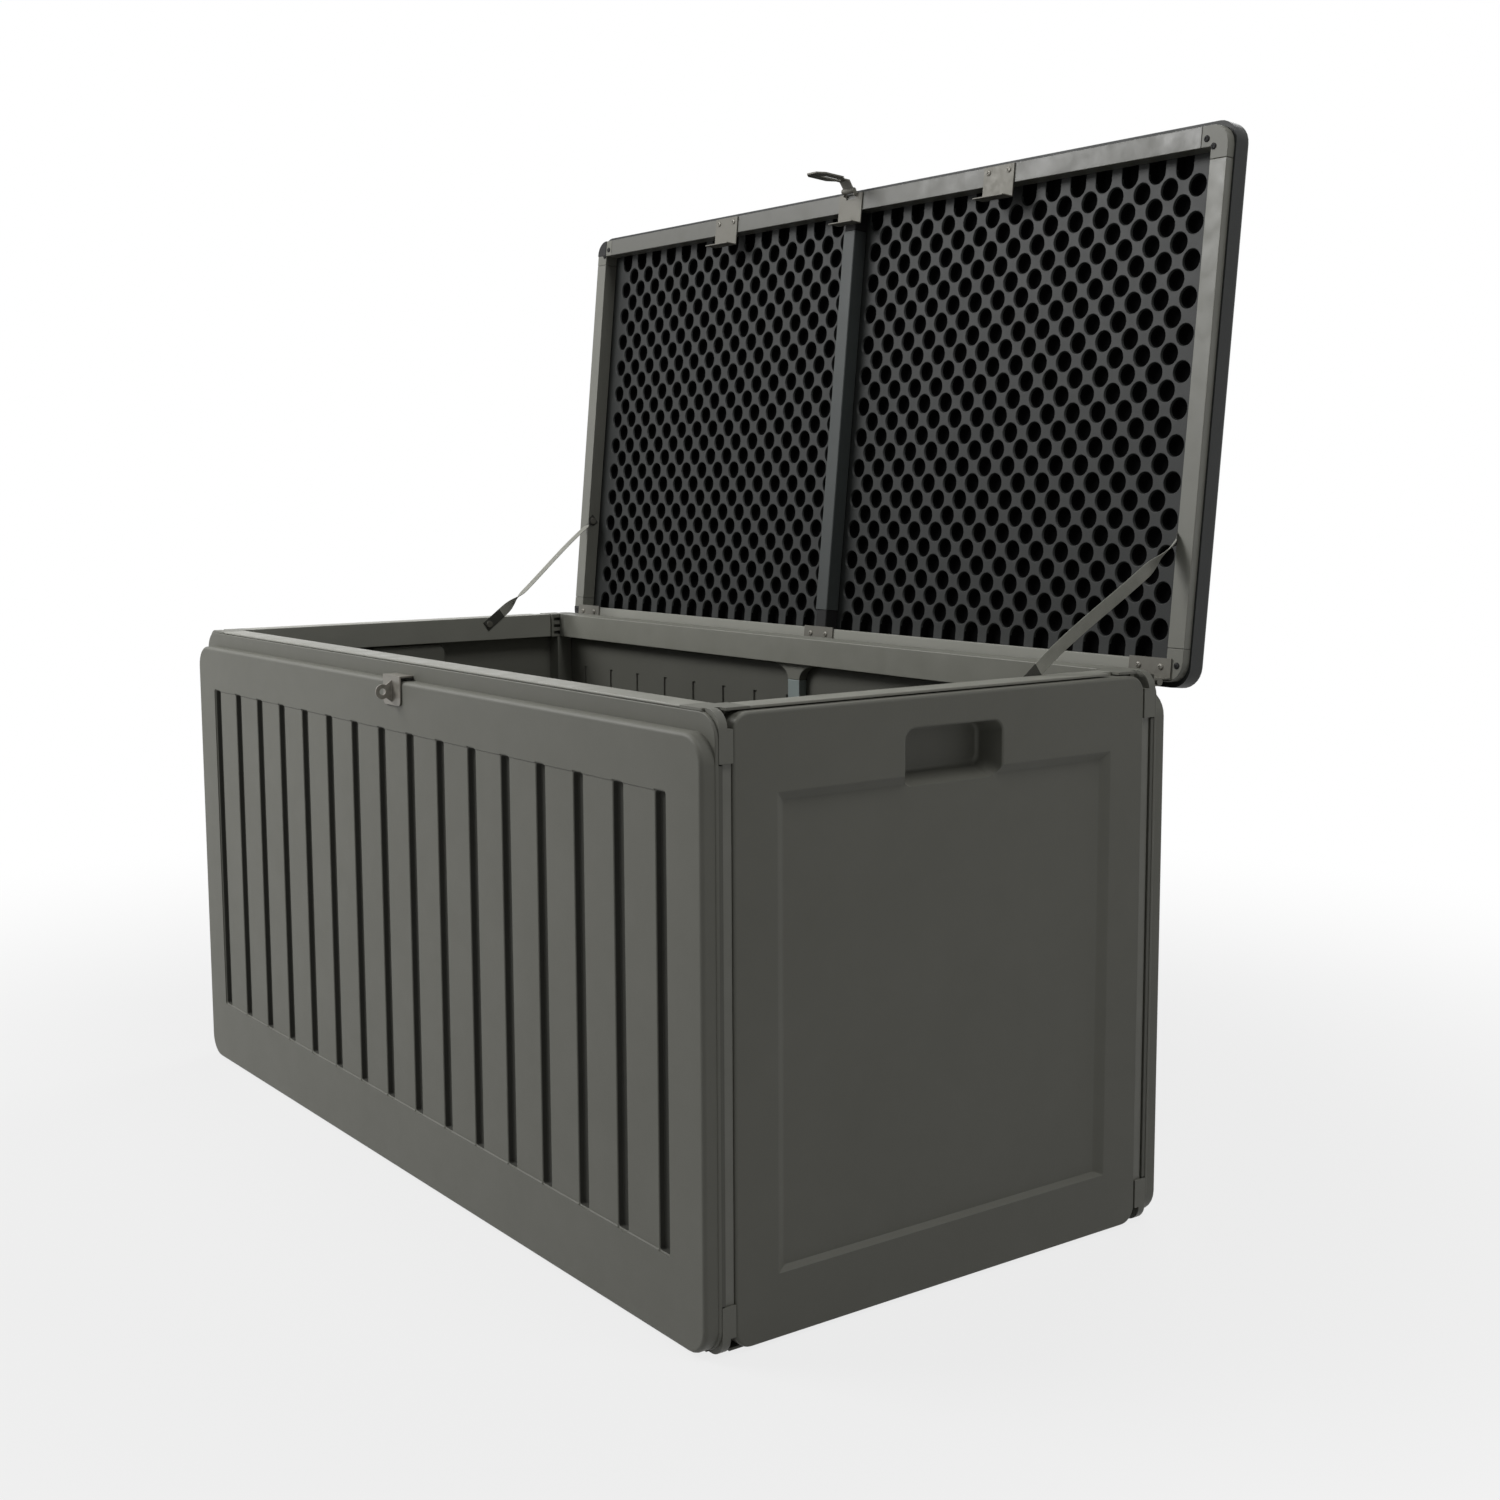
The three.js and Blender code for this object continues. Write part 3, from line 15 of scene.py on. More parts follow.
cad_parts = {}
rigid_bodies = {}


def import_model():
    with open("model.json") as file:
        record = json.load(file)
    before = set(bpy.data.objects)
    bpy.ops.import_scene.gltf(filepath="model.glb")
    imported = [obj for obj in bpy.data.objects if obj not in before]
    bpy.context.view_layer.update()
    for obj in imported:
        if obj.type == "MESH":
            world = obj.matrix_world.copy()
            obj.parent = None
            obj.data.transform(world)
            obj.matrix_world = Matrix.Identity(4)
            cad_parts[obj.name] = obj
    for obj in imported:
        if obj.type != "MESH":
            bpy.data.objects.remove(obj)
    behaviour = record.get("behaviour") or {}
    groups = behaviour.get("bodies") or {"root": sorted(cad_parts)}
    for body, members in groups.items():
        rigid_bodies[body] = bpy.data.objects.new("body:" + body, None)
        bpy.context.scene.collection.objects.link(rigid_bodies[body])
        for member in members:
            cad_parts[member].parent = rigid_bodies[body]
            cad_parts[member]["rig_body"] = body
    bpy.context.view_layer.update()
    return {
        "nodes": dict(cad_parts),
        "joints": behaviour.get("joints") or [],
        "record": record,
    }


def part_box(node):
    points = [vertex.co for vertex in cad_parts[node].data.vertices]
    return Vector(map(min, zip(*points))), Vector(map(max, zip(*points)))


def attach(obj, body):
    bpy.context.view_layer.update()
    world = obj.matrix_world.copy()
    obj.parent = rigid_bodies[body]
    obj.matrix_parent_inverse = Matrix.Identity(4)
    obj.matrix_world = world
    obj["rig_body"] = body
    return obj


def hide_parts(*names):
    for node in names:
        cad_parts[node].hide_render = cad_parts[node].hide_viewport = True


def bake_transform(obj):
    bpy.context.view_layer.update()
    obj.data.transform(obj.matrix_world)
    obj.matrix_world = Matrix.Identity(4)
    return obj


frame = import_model()

MM = 0.001
GAP = 0.3                         # between neighbouring pieces

# ---------------------------------------------------------------- camera

CAMERA_PLACE = (1.9832, -1.2594, 0.8003)
CAMERA_AZIMUTH = 54.168           # degrees, turned left from looking along +Y
CAMERA_DOWN = 6.84                # degrees, below the horizon
CAMERA_ROLL = -0.315
SENSOR = 36.0
LENS = 46.377
SHIFT = (0.0115, -0.0249)
CLIP_NEAR = 0.05
CLIP_FAR = 60


def add_object(name, data):
    made = bpy.data.objects.new(name, data)
    bpy.context.scene.collection.objects.link(made)
    return made


def add_camera():
    data = bpy.data.cameras.new("camera")
    data.sensor_width = SENSOR
    data.lens = LENS
    data.shift_x, data.shift_y = SHIFT
    data.clip_start = CLIP_NEAR
    data.clip_end = CLIP_FAR
    camera = add_object("camera", data)
    turn = Matrix.Rotation(math.radians(CAMERA_AZIMUTH), 4, "Z")
    tilt = Matrix.Rotation(math.radians(90 - CAMERA_DOWN), 4, "X")
    roll = Matrix.Rotation(math.radians(CAMERA_ROLL), 4, "Z")
    camera.matrix_world = Matrix.Translation(CAMERA_PLACE) @ turn @ tilt @ roll
    bpy.context.scene.camera = camera


add_camera()

# ---------------------------------------------------------------- places read from the frame


def low(node):
    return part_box(node)[0] / MM


def high(node):
    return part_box(node)[1] / MM


LID_JOINT = next(j for j in frame["joints"] if j["name"] == "lid_hinge")
PIVOT = Vector(LID_JOINT["pos_m"]) / MM
OPEN_ANGLE = LID_JOINT["range_deg"][1]

END_FACE = high("right_end_panel").x
SIDE_FACE = -low("front_panel").y
SIDE_INNER = -high("front_panel").y
RIM = high("front_top_rail").z

# From the closed lid's place to where it stands open, in millimetres.
TO_OPEN = (
    Matrix.Translation(PIVOT)
    @ Matrix.Rotation(math.radians(-OPEN_ANGLE), 4, "X")
    @ Matrix.Translation(-PIVOT)
)

# ---------------------------------------------------------------- materials


def linear(hex_colour):
    """A colour written as it looks, as the linear values that a shader takes."""
    channels = [int(hex_colour[i : i + 2], 16) / 255 for i in (0, 2, 4)]
    return tuple(c / 12.92 if c <= 0.04045 else ((c + 0.055) / 1.055) ** 2.4 for c in channels)


def maths(tree, operation, first, second):
    node = tree.nodes.new("ShaderNodeMath")
    node.operation = operation
    tree.links.new(first, node.inputs[0])
    tree.links.new(second, node.inputs[1])
    return node.outputs[0]


# Where a noise's dark and light clouds begin.
CLOUD_LOW = 0.3
CLOUD_HIGH = 0.7


class Finish:
    """A node material built up step by step from its principled shader."""

    def __init__(self, name, roughness, metallic=0.0, specular=0.5):
        self.material = bpy.data.materials.new(name)
        self.material.use_nodes = True
        self.tree = self.material.node_tree
        self.shader = self.tree.nodes["Principled BSDF"]
        self.shader.inputs["Roughness"].default_value = roughness
        self.shader.inputs["Metallic"].default_value = metallic
        self.shader.inputs["Specular IOR Level"].default_value = specular
        self.place = self.tree.nodes.new("ShaderNodeTexCoord")

    def link(self, source, target):
        self.tree.links.new(source, target)

    def noise(self, scale, detail=3.0, roughness=0.5, stretch=(1, 1, 1), distortion=0.0):
        """Clouds in the object's own place, of about 1 / scale metres. Stretch makes them
        as many times narrower along each axis."""
        mapping = self.tree.nodes.new("ShaderNodeMapping")
        mapping.inputs["Scale"].default_value = stretch
        self.link(self.place.outputs["Object"], mapping.inputs["Vector"])
        node = self.tree.nodes.new("ShaderNodeTexNoise")
        node.inputs["Scale"].default_value = scale
        node.inputs["Detail"].default_value = detail
        node.inputs["Roughness"].default_value = roughness
        node.inputs["Distortion"].default_value = distortion
        self.link(mapping.outputs["Vector"], node.inputs["Vector"])
        return node.outputs["Fac"]

    def ribs(self, direction, scale, distortion):
        """Even bands across U or V, as "X" or "Y" says."""
        node = self.tree.nodes.new("ShaderNodeTexWave")
        node.bands_direction = direction
        node.inputs["Scale"].default_value = scale
        node.inputs["Distortion"].default_value = distortion
        self.link(self.place.outputs["UV"], node.inputs["Vector"])
        return node.outputs["Fac"]

    def ramp(self, value, stops):
        """Colours along a value, each stop a position and a colour as it looks."""
        node = self.tree.nodes.new("ShaderNodeValToRGB")
        elements = node.color_ramp.elements
        while len(elements) > len(stops):
            elements.remove(elements[-1])
        while len(elements) < len(stops):
            elements.new(1.0)
        for element, (position, colour) in zip(elements, stops):
            element.position = position
            element.color = (*linear(colour), 1.0)
        self.link(value, node.inputs["Fac"])
        return node.outputs["Color"]

    def grey(self, value, start, end, low_value, high_value):
        """The value from start to end, stretched to run from the low value to the high one."""
        node = self.tree.nodes.new("ShaderNodeMapRange")
        node.inputs["From Min"].default_value = start
        node.inputs["From Max"].default_value = end
        node.inputs["To Min"].default_value = low_value
        node.inputs["To Max"].default_value = high_value
        self.link(value, node.inputs["Value"])
        return node.outputs["Result"]

    def product(self, first, second):
        return maths(self.tree, "MULTIPLY", first, second)

    def colour(self, value):
        self.link(value, self.shader.inputs["Base Color"])

    def clouded_colour(self, value, darker, colour):
        """The darker colour where the value is low, and the plain one where it is high."""
        self.colour(self.ramp(value, [(CLOUD_LOW, darker), (CLOUD_HIGH, colour)]))

    def clouded_roughness(self, value, low_value, high_value):
        self.link(self.grey(value, CLOUD_LOW, CLOUD_HIGH, low_value, high_value),
                  self.shader.inputs["Roughness"])

    def bump(self, height, strength, distance, under=None):
        node = self.tree.nodes.new("ShaderNodeBump")
        node.inputs["Strength"].default_value = strength
        node.inputs["Distance"].default_value = distance
        self.link(height, node.inputs["Height"])
        if under is not None:
            self.link(under, node.inputs["Normal"])
        self.link(node.outputs["Normal"], self.shader.inputs["Normal"])
        return node.outputs["Normal"]


def moulded_plastic(name, colour, darker, roughness=0.55, grain=1.0, specular=0.4):
    """Blow-moulded polyethylene: slow waves, a fine leathery grain and faint marbling."""
    finish = Finish(name, roughness, specular=specular)
    marbling = finish.noise(scale=7, detail=5, roughness=0.6, distortion=0.4)
    finish.clouded_colour(marbling, darker, colour)
    waves = finish.bump(finish.noise(scale=9, detail=1), strength=0.1, distance=0.004)
    hide = finish.noise(scale=520, detail=4, roughness=0.55)
    finish.bump(hide, strength=0.22 * grain, distance=0.0006, under=waves)
    sheen = finish.noise(scale=38, detail=4, roughness=0.6)
    finish.clouded_roughness(sheen, roughness - 0.02, roughness + 0.03)
    return finish.material


def painted_metal(name, colour, darker, roughness=0.42):
    """Powder coat: orange peel, and a gloss and colour that vary slightly."""
    finish = Finish(name, roughness)
    finish.clouded_colour(finish.noise(scale=14, detail=4, roughness=0.6), darker, colour)
    finish.bump(finish.noise(scale=900, detail=2), strength=0.12, distance=0.0004)
    finish.clouded_roughness(finish.noise(scale=45, detail=3), roughness - 0.06, roughness + 0.1)
    return finish.material


def bare_steel(name, colour, darker, roughness=0.34):
    """Zinc-plated sheet: fine drawn lines and cloudy patches of dulled plating."""
    finish = Finish(name, roughness, metallic=0.25)
    cloud = finish.noise(scale=120, detail=4, roughness=0.6)
    finish.clouded_colour(cloud, darker, colour)
    drawn = finish.noise(scale=90, detail=3, stretch=(1, 14, 14))
    finish.bump(drawn, strength=0.1, distance=0.0003)
    finish.clouded_roughness(cloud, roughness - 0.06, roughness + 0.12)
    return finish.material


def webbing(name, darker, colour):
    """Woven tape: ribs across it, fine yarns along it, and slightly uneven dye."""
    finish = Finish(name, roughness=0.85, specular=0.2)
    finish.shader.inputs["Sheen Weight"].default_value = 0.25
    weave = finish.product(finish.ribs("Y", scale=230, distortion=0.6),
                           finish.ribs("X", scale=420, distortion=1.0))
    cloud = finish.noise(scale=60, detail=3)
    tone = finish.product(finish.grey(weave, 0, 1, 0.82, 1.0),
                          finish.grey(cloud, CLOUD_LOW, CLOUD_HIGH, 0.9, 1.0))
    finish.colour(finish.ramp(tone, [(0.7, darker), (1.0, colour)]))
    finish.bump(weave, strength=0.5, distance=0.0005)
    return finish.material


SHELL = moulded_plastic("shell_plastic", "6f6f67", "6a6a62")
# A darker copy of the shell plastic: painted shade on the box's inner walls and floor.
SHELL_INSIDE_SHADE = moulded_plastic("shell_inside_painted_shade", "5c5c55", "575750")
# A darker copy of the shell plastic: painted shade deep in the slats' grooves.
SHELL_GROOVE_SHADE = moulded_plastic("shell_groove_painted_shade", "484843", "42423d", roughness=0.7, specular=0.2)
LID = moulded_plastic("lid_plastic", "242625", "202221", roughness=0.5, specular=0.3)
# A near-black copy of the lid plastic: painted shade in the pits' depths.
LID_PIT_SHADE = moulded_plastic("lid_pit_painted_shade", "060607", "050505", roughness=0.85, specular=0.04)
BLACK = moulded_plastic("black_fitting", "151515", "111111", grain=0.5, specular=0.25)
BAR = moulded_plastic("bar_plastic", "3c4140", "373b3a", roughness=0.5, grain=0.6)
CONNECTOR = moulded_plastic("connector_plastic", "7b7b73", "74746c", roughness=0.5, grain=0.5)
FRAME = painted_metal("frame_paint", "7d7d75", "77776f")
# Lighter copies of the frame paint: painted light on the body's top rails and the lid's back rail.
TOP_RAIL_PAINTED_LIGHT = painted_metal("top_rail_painted_light", "898980", "83837a")
RAIL_PAINTED_LIGHT = painted_metal("rail_painted_light", "9a9a91", "94948b")
# A darker copy of the frame paint: painted shade on the lid's front rail.
LID_FRONT_RAIL_SHADE = painted_metal("lid_front_rail_painted_shade", "64645e", "5f5f58")
POST = painted_metal("post_metal", "98a3a1", "909a98", roughness=0.35)
STEEL = bare_steel("plate_steel", "6e6c64", "64625a", roughness=0.5)
STAPLE = bare_steel("staple_steel", "8f8b82", "7c7971")
SCREW = bare_steel("screw_steel", "8b887f", "77746c", roughness=0.38)
STRAP_FINISH = webbing("webbing", "94948a", "c4c4ba")
# A darker copy of the webbing: painted shade on the tape's ends.
STRAP_SHADE_FINISH = webbing("webbing_painted_shade", "3d3d38", "55554e")

NODE_SLOT = {part["node"]: part["material_slot"] for part in frame["record"]["subparts"]}

# ---------------------------------------------------------------- mesh helpers

# A rounded rectangle at a height. r is the radius of every corner, or of each of the four in turn.
Level = namedtuple("Level", "x0 x1 y0 y1 r z")
# How a hollow is sunk: how deep, how far its sides lean in, and how round its two edges are.
Sink = namedtuple("Sink", "depth draft mouth_round floor_round")
ARC_STEPS = 7                     # faces round a corner
EDGE_STEPS = 4                    # faces round a hollow's edge
LEAST_RADIUS = 0.3                # keeps a rounded corner from closing up
TOOL_FLARE = 0.3                  # how far a cutting tool widens per millimetre it stands proud
MIRROR = Matrix.Scale(-1, 4, (1, 0, 0))


def radii(level):
    return level.r if isinstance(level.r, tuple) else (level.r,) * 4


def outline(level, steps=ARC_STEPS):
    """Corner points of a rounded rectangle, anticlockwise."""
    corners = ((level.x0, level.y0, 1, 1), (level.x1, level.y0, -1, 1),
               (level.x1, level.y1, -1, -1), (level.x0, level.y1, 1, -1))
    points = []
    for corner, ((x, y, in_x, in_y), r) in enumerate(zip(corners, radii(level))):
        for i in range(steps + 1 if r > 0 else 1):
            angle = math.pi * (1 + corner / 2) + i / steps * math.pi / 2
            points.append((x + in_x * r + r * math.cos(angle),
                           y + in_y * r + r * math.sin(angle)))
    return points


def inset(level, amount, z=None):
    """The outline pulled in, or let out when the amount is negative."""
    return Level(level.x0 + amount, level.x1 - amount, level.y0 + amount, level.y1 - amount,
                 tuple(max(r - amount, LEAST_RADIUS) if r > 0 else 0 for r in radii(level)),
                 level.z if z is None else z)


def skin(rings):
    """A closed mesh through rings of as many points each, lowest first and anticlockwise."""
    count = len(rings[0])
    vertices = [point for ring in rings for point in ring]
    faces = [list(range(count))[::-1]]
    for k in range(len(rings) - 1):
        for i in range(count):
            j = (i + 1) % count
            faces.append([k * count + i, k * count + j, (k + 1) * count + j, (k + 1) * count + i])
    faces.append([(len(rings) - 1) * count + i for i in range(count)])
    return vertices, faces


def loft(levels, steps=ARC_STEPS):
    """A closed mesh through rounded rectangles, lowest first."""
    return skin([[(x, y, level.z) for x, y in outline(level, steps)] for level in levels])


def turned(profile, sides):
    """A closed mesh turned about Z, from its radii and heights, lowest first."""
    angles = [2 * math.pi * i / sides for i in range(sides)]
    return skin([[(radius * math.cos(angle), radius * math.sin(angle), up) for angle in angles]
                 for radius, up in profile])


def moved(part, x, y, z):
    vertices, faces = part
    return [(x + px, y + py, z + pz) for px, py, pz in vertices], faces


def block(x0, x1, y0, y1, z0, z1):
    return loft([Level(x0, x1, y0, y1, 0, z0), Level(x0, x1, y0, y1, 0, z1)])


def rounded_top(level, z0, z1, edge, steps=6, pull=inset):
    """Levels from z0 up to z1, with the edge round z1 rounded off."""
    levels = [level._replace(z=z0)]
    for i in range(steps + 1):
        angle = i / steps * math.pi / 2
        pulled = pull(level, edge * (1 - math.cos(angle)))
        levels.append(pulled._replace(z=z1 - edge + edge * math.sin(angle)))
    return levels


def hollow(mouth, sink, beyond=1.0, floor=None):
    """Levels of a tool that sinks a hollow with a rounded floor edge and a rounded mouth.

    The mouth's outline is given at the surface, and floor is its outline at the bottom, if it
    isn't the mouth pulled in by the draft. The tool reaches beyond the surface by as much.
    """
    bottom = floor or inset(mouth, sink.draft)
    ground = mouth.z - sink.depth

    def between(rise, extra):
        t = rise / sink.depth
        sides = [b + (m - b) * t for b, m in zip(bottom[:4], mouth[:4])]
        return Level(sides[0] + extra, sides[1] - extra, sides[2] + extra, sides[3] - extra,
                     max(mouth.r - extra, LEAST_RADIUS), ground + rise)

    quarters = [i / EDGE_STEPS * math.pi / 2 for i in range(EDGE_STEPS + 1)]
    levels = [between(sink.floor_round * (1 - math.cos(angle)),
                      sink.floor_round * (1 - math.sin(angle))) for angle in quarters]
    levels += [between(sink.depth - sink.mouth_round * (1 - math.sin(angle)),
                       -sink.mouth_round * (1 - math.cos(angle))) for angle in quarters]
    levels.append(inset(levels[-1], -beyond * TOOL_FLARE, levels[-1].z + beyond))
    return levels


def mesh_object(name, parts):
    """One object from several (vertices, faces) that don't touch each other."""
    vertices, faces = [], []
    for part_vertices, part_faces in parts:
        offset = len(vertices)
        vertices.extend(part_vertices)
        faces.extend([[i + offset for i in face] for face in part_faces])
    data = bpy.data.meshes.new(name)
    data.from_pydata(vertices, [], faces)
    data.update()
    return add_object(name, data)


def evaluated(made):
    graph = bpy.context.evaluated_depsgraph_get()
    return bpy.data.meshes.new_from_object(made.evaluated_get(graph))


def combine(target, tool, operation):
    """Joins or cuts the target by the tool, and takes the tool away."""
    modifier = target.modifiers.new("combine", "BOOLEAN")
    modifier.operation = operation
    modifier.object = tool
    modifier.solver = "MANIFOLD"
    mesh = evaluated(target)
    target.modifiers.clear()
    target.data = mesh
    bpy.data.objects.remove(tool)


def join(target, parts):
    combine(target, mesh_object("tool", parts), "UNION")


def cut(target, parts):
    combine(target, mesh_object("tool", parts), "DIFFERENCE")


def eased(t):
    """From 0 to 1, slow at both ends."""
    t = min(max(t, 0.0), 1.0)
    return t * t * (3 - 2 * t)


def towards(own_x, own_y):
    """From a piece's own millimetres, its x and y along these axes, to the frame's metres."""
    x, y = Vector(own_x), Vector(own_y)
    turn = Matrix((x, y, x.cross(y))).transposed().to_4x4()
    return Matrix.Scale(MM, 4) @ turn


FRONT = towards((1, 0, 0), (0, 0, 1))
BACK = towards((-1, 0, 0), (0, 0, 1))
RIGHT = towards((0, 1, 0), (0, 0, 1))
LEFT = towards((0, -1, 0), (0, 0, 1))
CLOSED_LID = Matrix.Scale(MM, 4) @ TO_OPEN
PLAIN = Matrix.Scale(MM, 4)


def mirrored(made):
    """Turns the piece of the right half into that of the left."""
    made.data.transform(MIRROR)
    made.data.flip_normals()


def smooth(made, angle=32):
    """Smooth shading with crisp edges, its normals led by the large faces."""
    mesh = made.data
    mesh.polygons.foreach_set("use_smooth", [True] * len(mesh.polygons))
    mesh.set_sharp_from_angle(angle=math.radians(angle))
    weighted = made.modifiers.new("normals", "WEIGHTED_NORMAL")
    weighted.keep_sharp = True


def dress(made, materials, body, *nodes, slot=None):
    """Gives a finished piece its materials and its body, and hides the nodes that it stands for."""
    chosen = [face.material_index for face in made.data.polygons]
    made.data.materials.clear()
    for material in materials if isinstance(materials, tuple) else (materials,):
        made.data.materials.append(material)
    made.data.polygons.foreach_set("material_index", chosen)
    if body:
        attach(made, body)
    if nodes:
        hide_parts(*nodes)


def turned_over(part):
    """The part seen from behind: its own z runs the other way, and its faces still face out."""
    vertices, faces = part
    return [(x, y, -z) for x, y, z in vertices], [face[::-1] for face in faces]


NEAR = 0.5                        # how far off a surface a face's middle still counts as on it


def finish_by_place(made, place_of):
    """Gives each face the piece's first, second or third material, by where its middle is."""
    for face in made.data.polygons:
        face.material_index = int(place_of(face.center))


# ---------------------------------------------------------------- front and back panels

FACE_RISE = 15                    # of the panel's main face above its flange
FLANGE_THICKNESS = 3.5
FLANGE_AT_SIDES = 1
FLANGE_AT_TOP = 17
FACE_CORNER = 28
FLANGE_CORNER = 24
FACE_EDGE = 4.5
FACE_OFF_FLOOR = 2
FLANGE_EDGE = 1.2
LAYER_CORNER = 3
LAYER_EDGE = 1.2
LAYER_OVERLAP = 1.5               # how far the inner wall runs into the flange
GROOVE_PITCH = 72
GROOVE_WIDTH = 18
GROOVE_DEPTH = 7
GROOVE_BOTTOM = 84.5
GROOVE_TOP = 521.5
GROOVE_CORNER = 2.5
SLAT_RECESS = 1.2                 # of the slats below the panel's main face
SLAT_CORNER = 2
SLAT_SINK = Sink(SLAT_RECESS, 0.9, 0.5, 0.3)
GROOVE_SINK = Sink(GROOVE_DEPTH - SLAT_RECESS, 1.5, 1.1, 1.0)
SHADE_BELOW_MOUTH = 2.5            # where a groove's painted shade begins
INNER_GROOVE_WIDTH = 8
INNER_GROOVE_CORNER = 2
INNER_GROOVE_SINK = Sink(2.4, 0.8, 0.9, 0.8)
FRONT_GROOVES = 16
BACK_LEFT_GROOVES = 8
BACK_RIGHT_GROOVES = 7
SEAM_TO_LEFT_GROOVE = 28.3
SEAM_TO_RIGHT_GROOVE = 75
LIP_THICKNESS = 2.7               # of the top rail's lip over the flange

# The edge that a panel turns in beside a corner post.
RETURN_GAP = 0.8                  # from the post's nose
RETURN_INSET = 0.6                # from the panel's end
RETURN_INNER = 597
RETURN_BOTTOM = 50
RETURN_TOP = 550
RETURN_OVERLAP = 1                # how far it runs into the flange

POST_NOSE = -low("front_right_post").y
PANEL_TOP = high("front_panel").z
PANEL_BOTTOM = low("right_end_panel").z
FRAME_X = low("right_end_panel").x


def grooved_panel(name, place, x0, x1, inner_x0, inner_x1, first, grooves):
    """The twin-walled panel with its slats, seen from outside, in its own x, y and depth."""
    flange_face = SIDE_FACE - FACE_RISE
    flange_back = flange_face - FLANGE_THICKNESS
    flange = Level(x0, x1, PANEL_BOTTOM, RIM - LIP_THICKNESS - GAP, FLANGE_CORNER, flange_back)
    face = Level(x0 + FLANGE_AT_SIDES, x1 - FLANGE_AT_SIDES, FACE_OFF_FLOOR,
                 PANEL_TOP - FLANGE_AT_TOP, FACE_CORNER, 0)
    layer = Level(inner_x0, inner_x1, PANEL_BOTTOM, PANEL_TOP, LAYER_CORNER, 0)
    panel = mesh_object(name, [loft(rounded_top(flange, flange_back, flange_face,
                                                FLANGE_EDGE, steps=3))])
    join(panel, [loft([inset(layer, LAYER_EDGE, SIDE_INNER),
                       inset(layer, 0, SIDE_INNER + LAYER_EDGE),
                       layer._replace(z=flange_back + LAYER_OVERLAP)])])
    join(panel, [loft(rounded_top(face, flange_face - GAP, SIDE_FACE, FACE_EDGE))])
    for x, sign in ((x0, -1), (x1, 1)):
        if abs(x) == END_FACE:
            near, far = sign * RETURN_INNER, sign * (END_FACE - RETURN_INSET)
            join(panel, [block(min(near, far), max(near, far), RETURN_BOTTOM, RETURN_TOP,
                               POST_NOSE + RETURN_GAP, flange_back + RETURN_OVERLAP)])
    places = [first + i * GROOVE_PITCH for i in range(grooves)]
    half, narrow = GROOVE_WIDTH / 2, INNER_GROOVE_WIDTH / 2
    slat_face = SIDE_FACE - SLAT_RECESS
    field = Level(places[0] - half, places[-1] + half, GROOVE_BOTTOM, GROOVE_TOP, SLAT_CORNER,
                  SIDE_FACE)
    cut(panel, [loft(hollow(field, SLAT_SINK))])
    outer, inner = [], []
    for x in places:
        mouth = Level(x - half, x + half, GROOVE_BOTTOM, GROOVE_TOP, GROOVE_CORNER, slat_face)
        outer.append(loft(hollow(mouth, GROOVE_SINK, beyond=2), steps=3))
        mouth = Level(x - narrow, x + narrow, GROOVE_BOTTOM, GROOVE_TOP, INNER_GROOVE_CORNER,
                      -SIDE_INNER)
        inner.append(turned_over(loft(hollow(mouth, INNER_GROOVE_SINK), steps=3)))
    cut(panel, outer)
    cut(panel, inner)

    def place_of(middle):
        """2 on the inner wall and 1 deep in a groove, both painted shade, and 0 elsewhere."""
        if middle.z < flange_back - NEAR:
            return 2
        across = min(abs(middle.x - x) for x in places)
        return (SIDE_FACE - GROOVE_DEPTH - NEAR < middle.z < slat_face - SHADE_BELOW_MOUTH
                and across < half and GROOVE_BOTTOM < middle.y < GROOVE_TOP)

    finish_by_place(panel, place_of)
    panel.data.transform(place)
    smooth(panel)
    return panel


def add_side_panels():
    inner_edge = FRAME_X - 2 * GAP
    # The second and third finishes are painted shade: deep in the grooves and on the inner wall.
    finishes = (SHELL, SHELL_GROOVE_SHADE, SHELL_INSIDE_SHADE)
    middle = (FRONT_GROOVES - 1) / 2 * GROOVE_PITCH
    front = grooved_panel("front_shell", FRONT, -END_FACE, END_FACE, -inner_edge, inner_edge,
                          -middle, FRONT_GROOVES)
    dress(front, finishes, "box", "front_panel")
    # The back is seen from behind, where the box's left is on the right.
    left_start = -high("back_panel_left").x
    right_end = -low("back_panel_right").x
    seam = (left_start + right_end) / 2
    left = grooved_panel("back_shell_left", BACK, left_start, END_FACE, left_start, inner_edge,
                         seam + SEAM_TO_LEFT_GROOVE, BACK_LEFT_GROOVES)
    dress(left, finishes, "box", "back_panel_left")
    first = seam - SEAM_TO_RIGHT_GROOVE - (BACK_RIGHT_GROOVES - 1) * GROOVE_PITCH
    right = grooved_panel("back_shell_right", BACK, -END_FACE, right_end, -inner_edge, right_end,
                          first, BACK_RIGHT_GROOVES)
    dress(right, finishes, "box", "back_panel_right")


# ---------------------------------------------------------------- end panels

END_THICKNESS = 22
END_CORNER = 18
END_EDGE = 3
FIELD_HALF_WIDTH = 217
FIELD_BOTTOM = 66
FIELD_TOP = 521
FIELD_DEPTH = 6
FIELD_TOP_SLOPE = 10              # width of the sloped border along the field's top
FIELD_FOOT_SLOPE = 4.5
FIELD_SIDE_SLOPE = 12
FIELD_CORNER = 1.5
FIELD_STEPS = 8                   # levels down the field's sloped border
FIELD_EASING = 0.4                # share of the slope that is eased rather than straight
FIELD_BEYOND = 4                  # how far the field's tool reaches beyond the face
HANDLE_WIDTH = 126
HANDLE_HEIGHT = 59
HANDLE_TOP = 565.5
HANDLE_CORNER = 12
HANDLE_DEPTH = 34
HANDLE_DRAFT = 3.5
HANDLE_LEDGE = 12
HANDLE_WALL = 2.2
HANDLE_SINK = Sink(HANDLE_DEPTH, 0, 2.2, 4)
CUP_SINK = Sink(HANDLE_DEPTH + HANDLE_WALL, 0, 0.1, 3)
CUP_OVERLAP = 4                   # how far the handle's cup runs into the panel


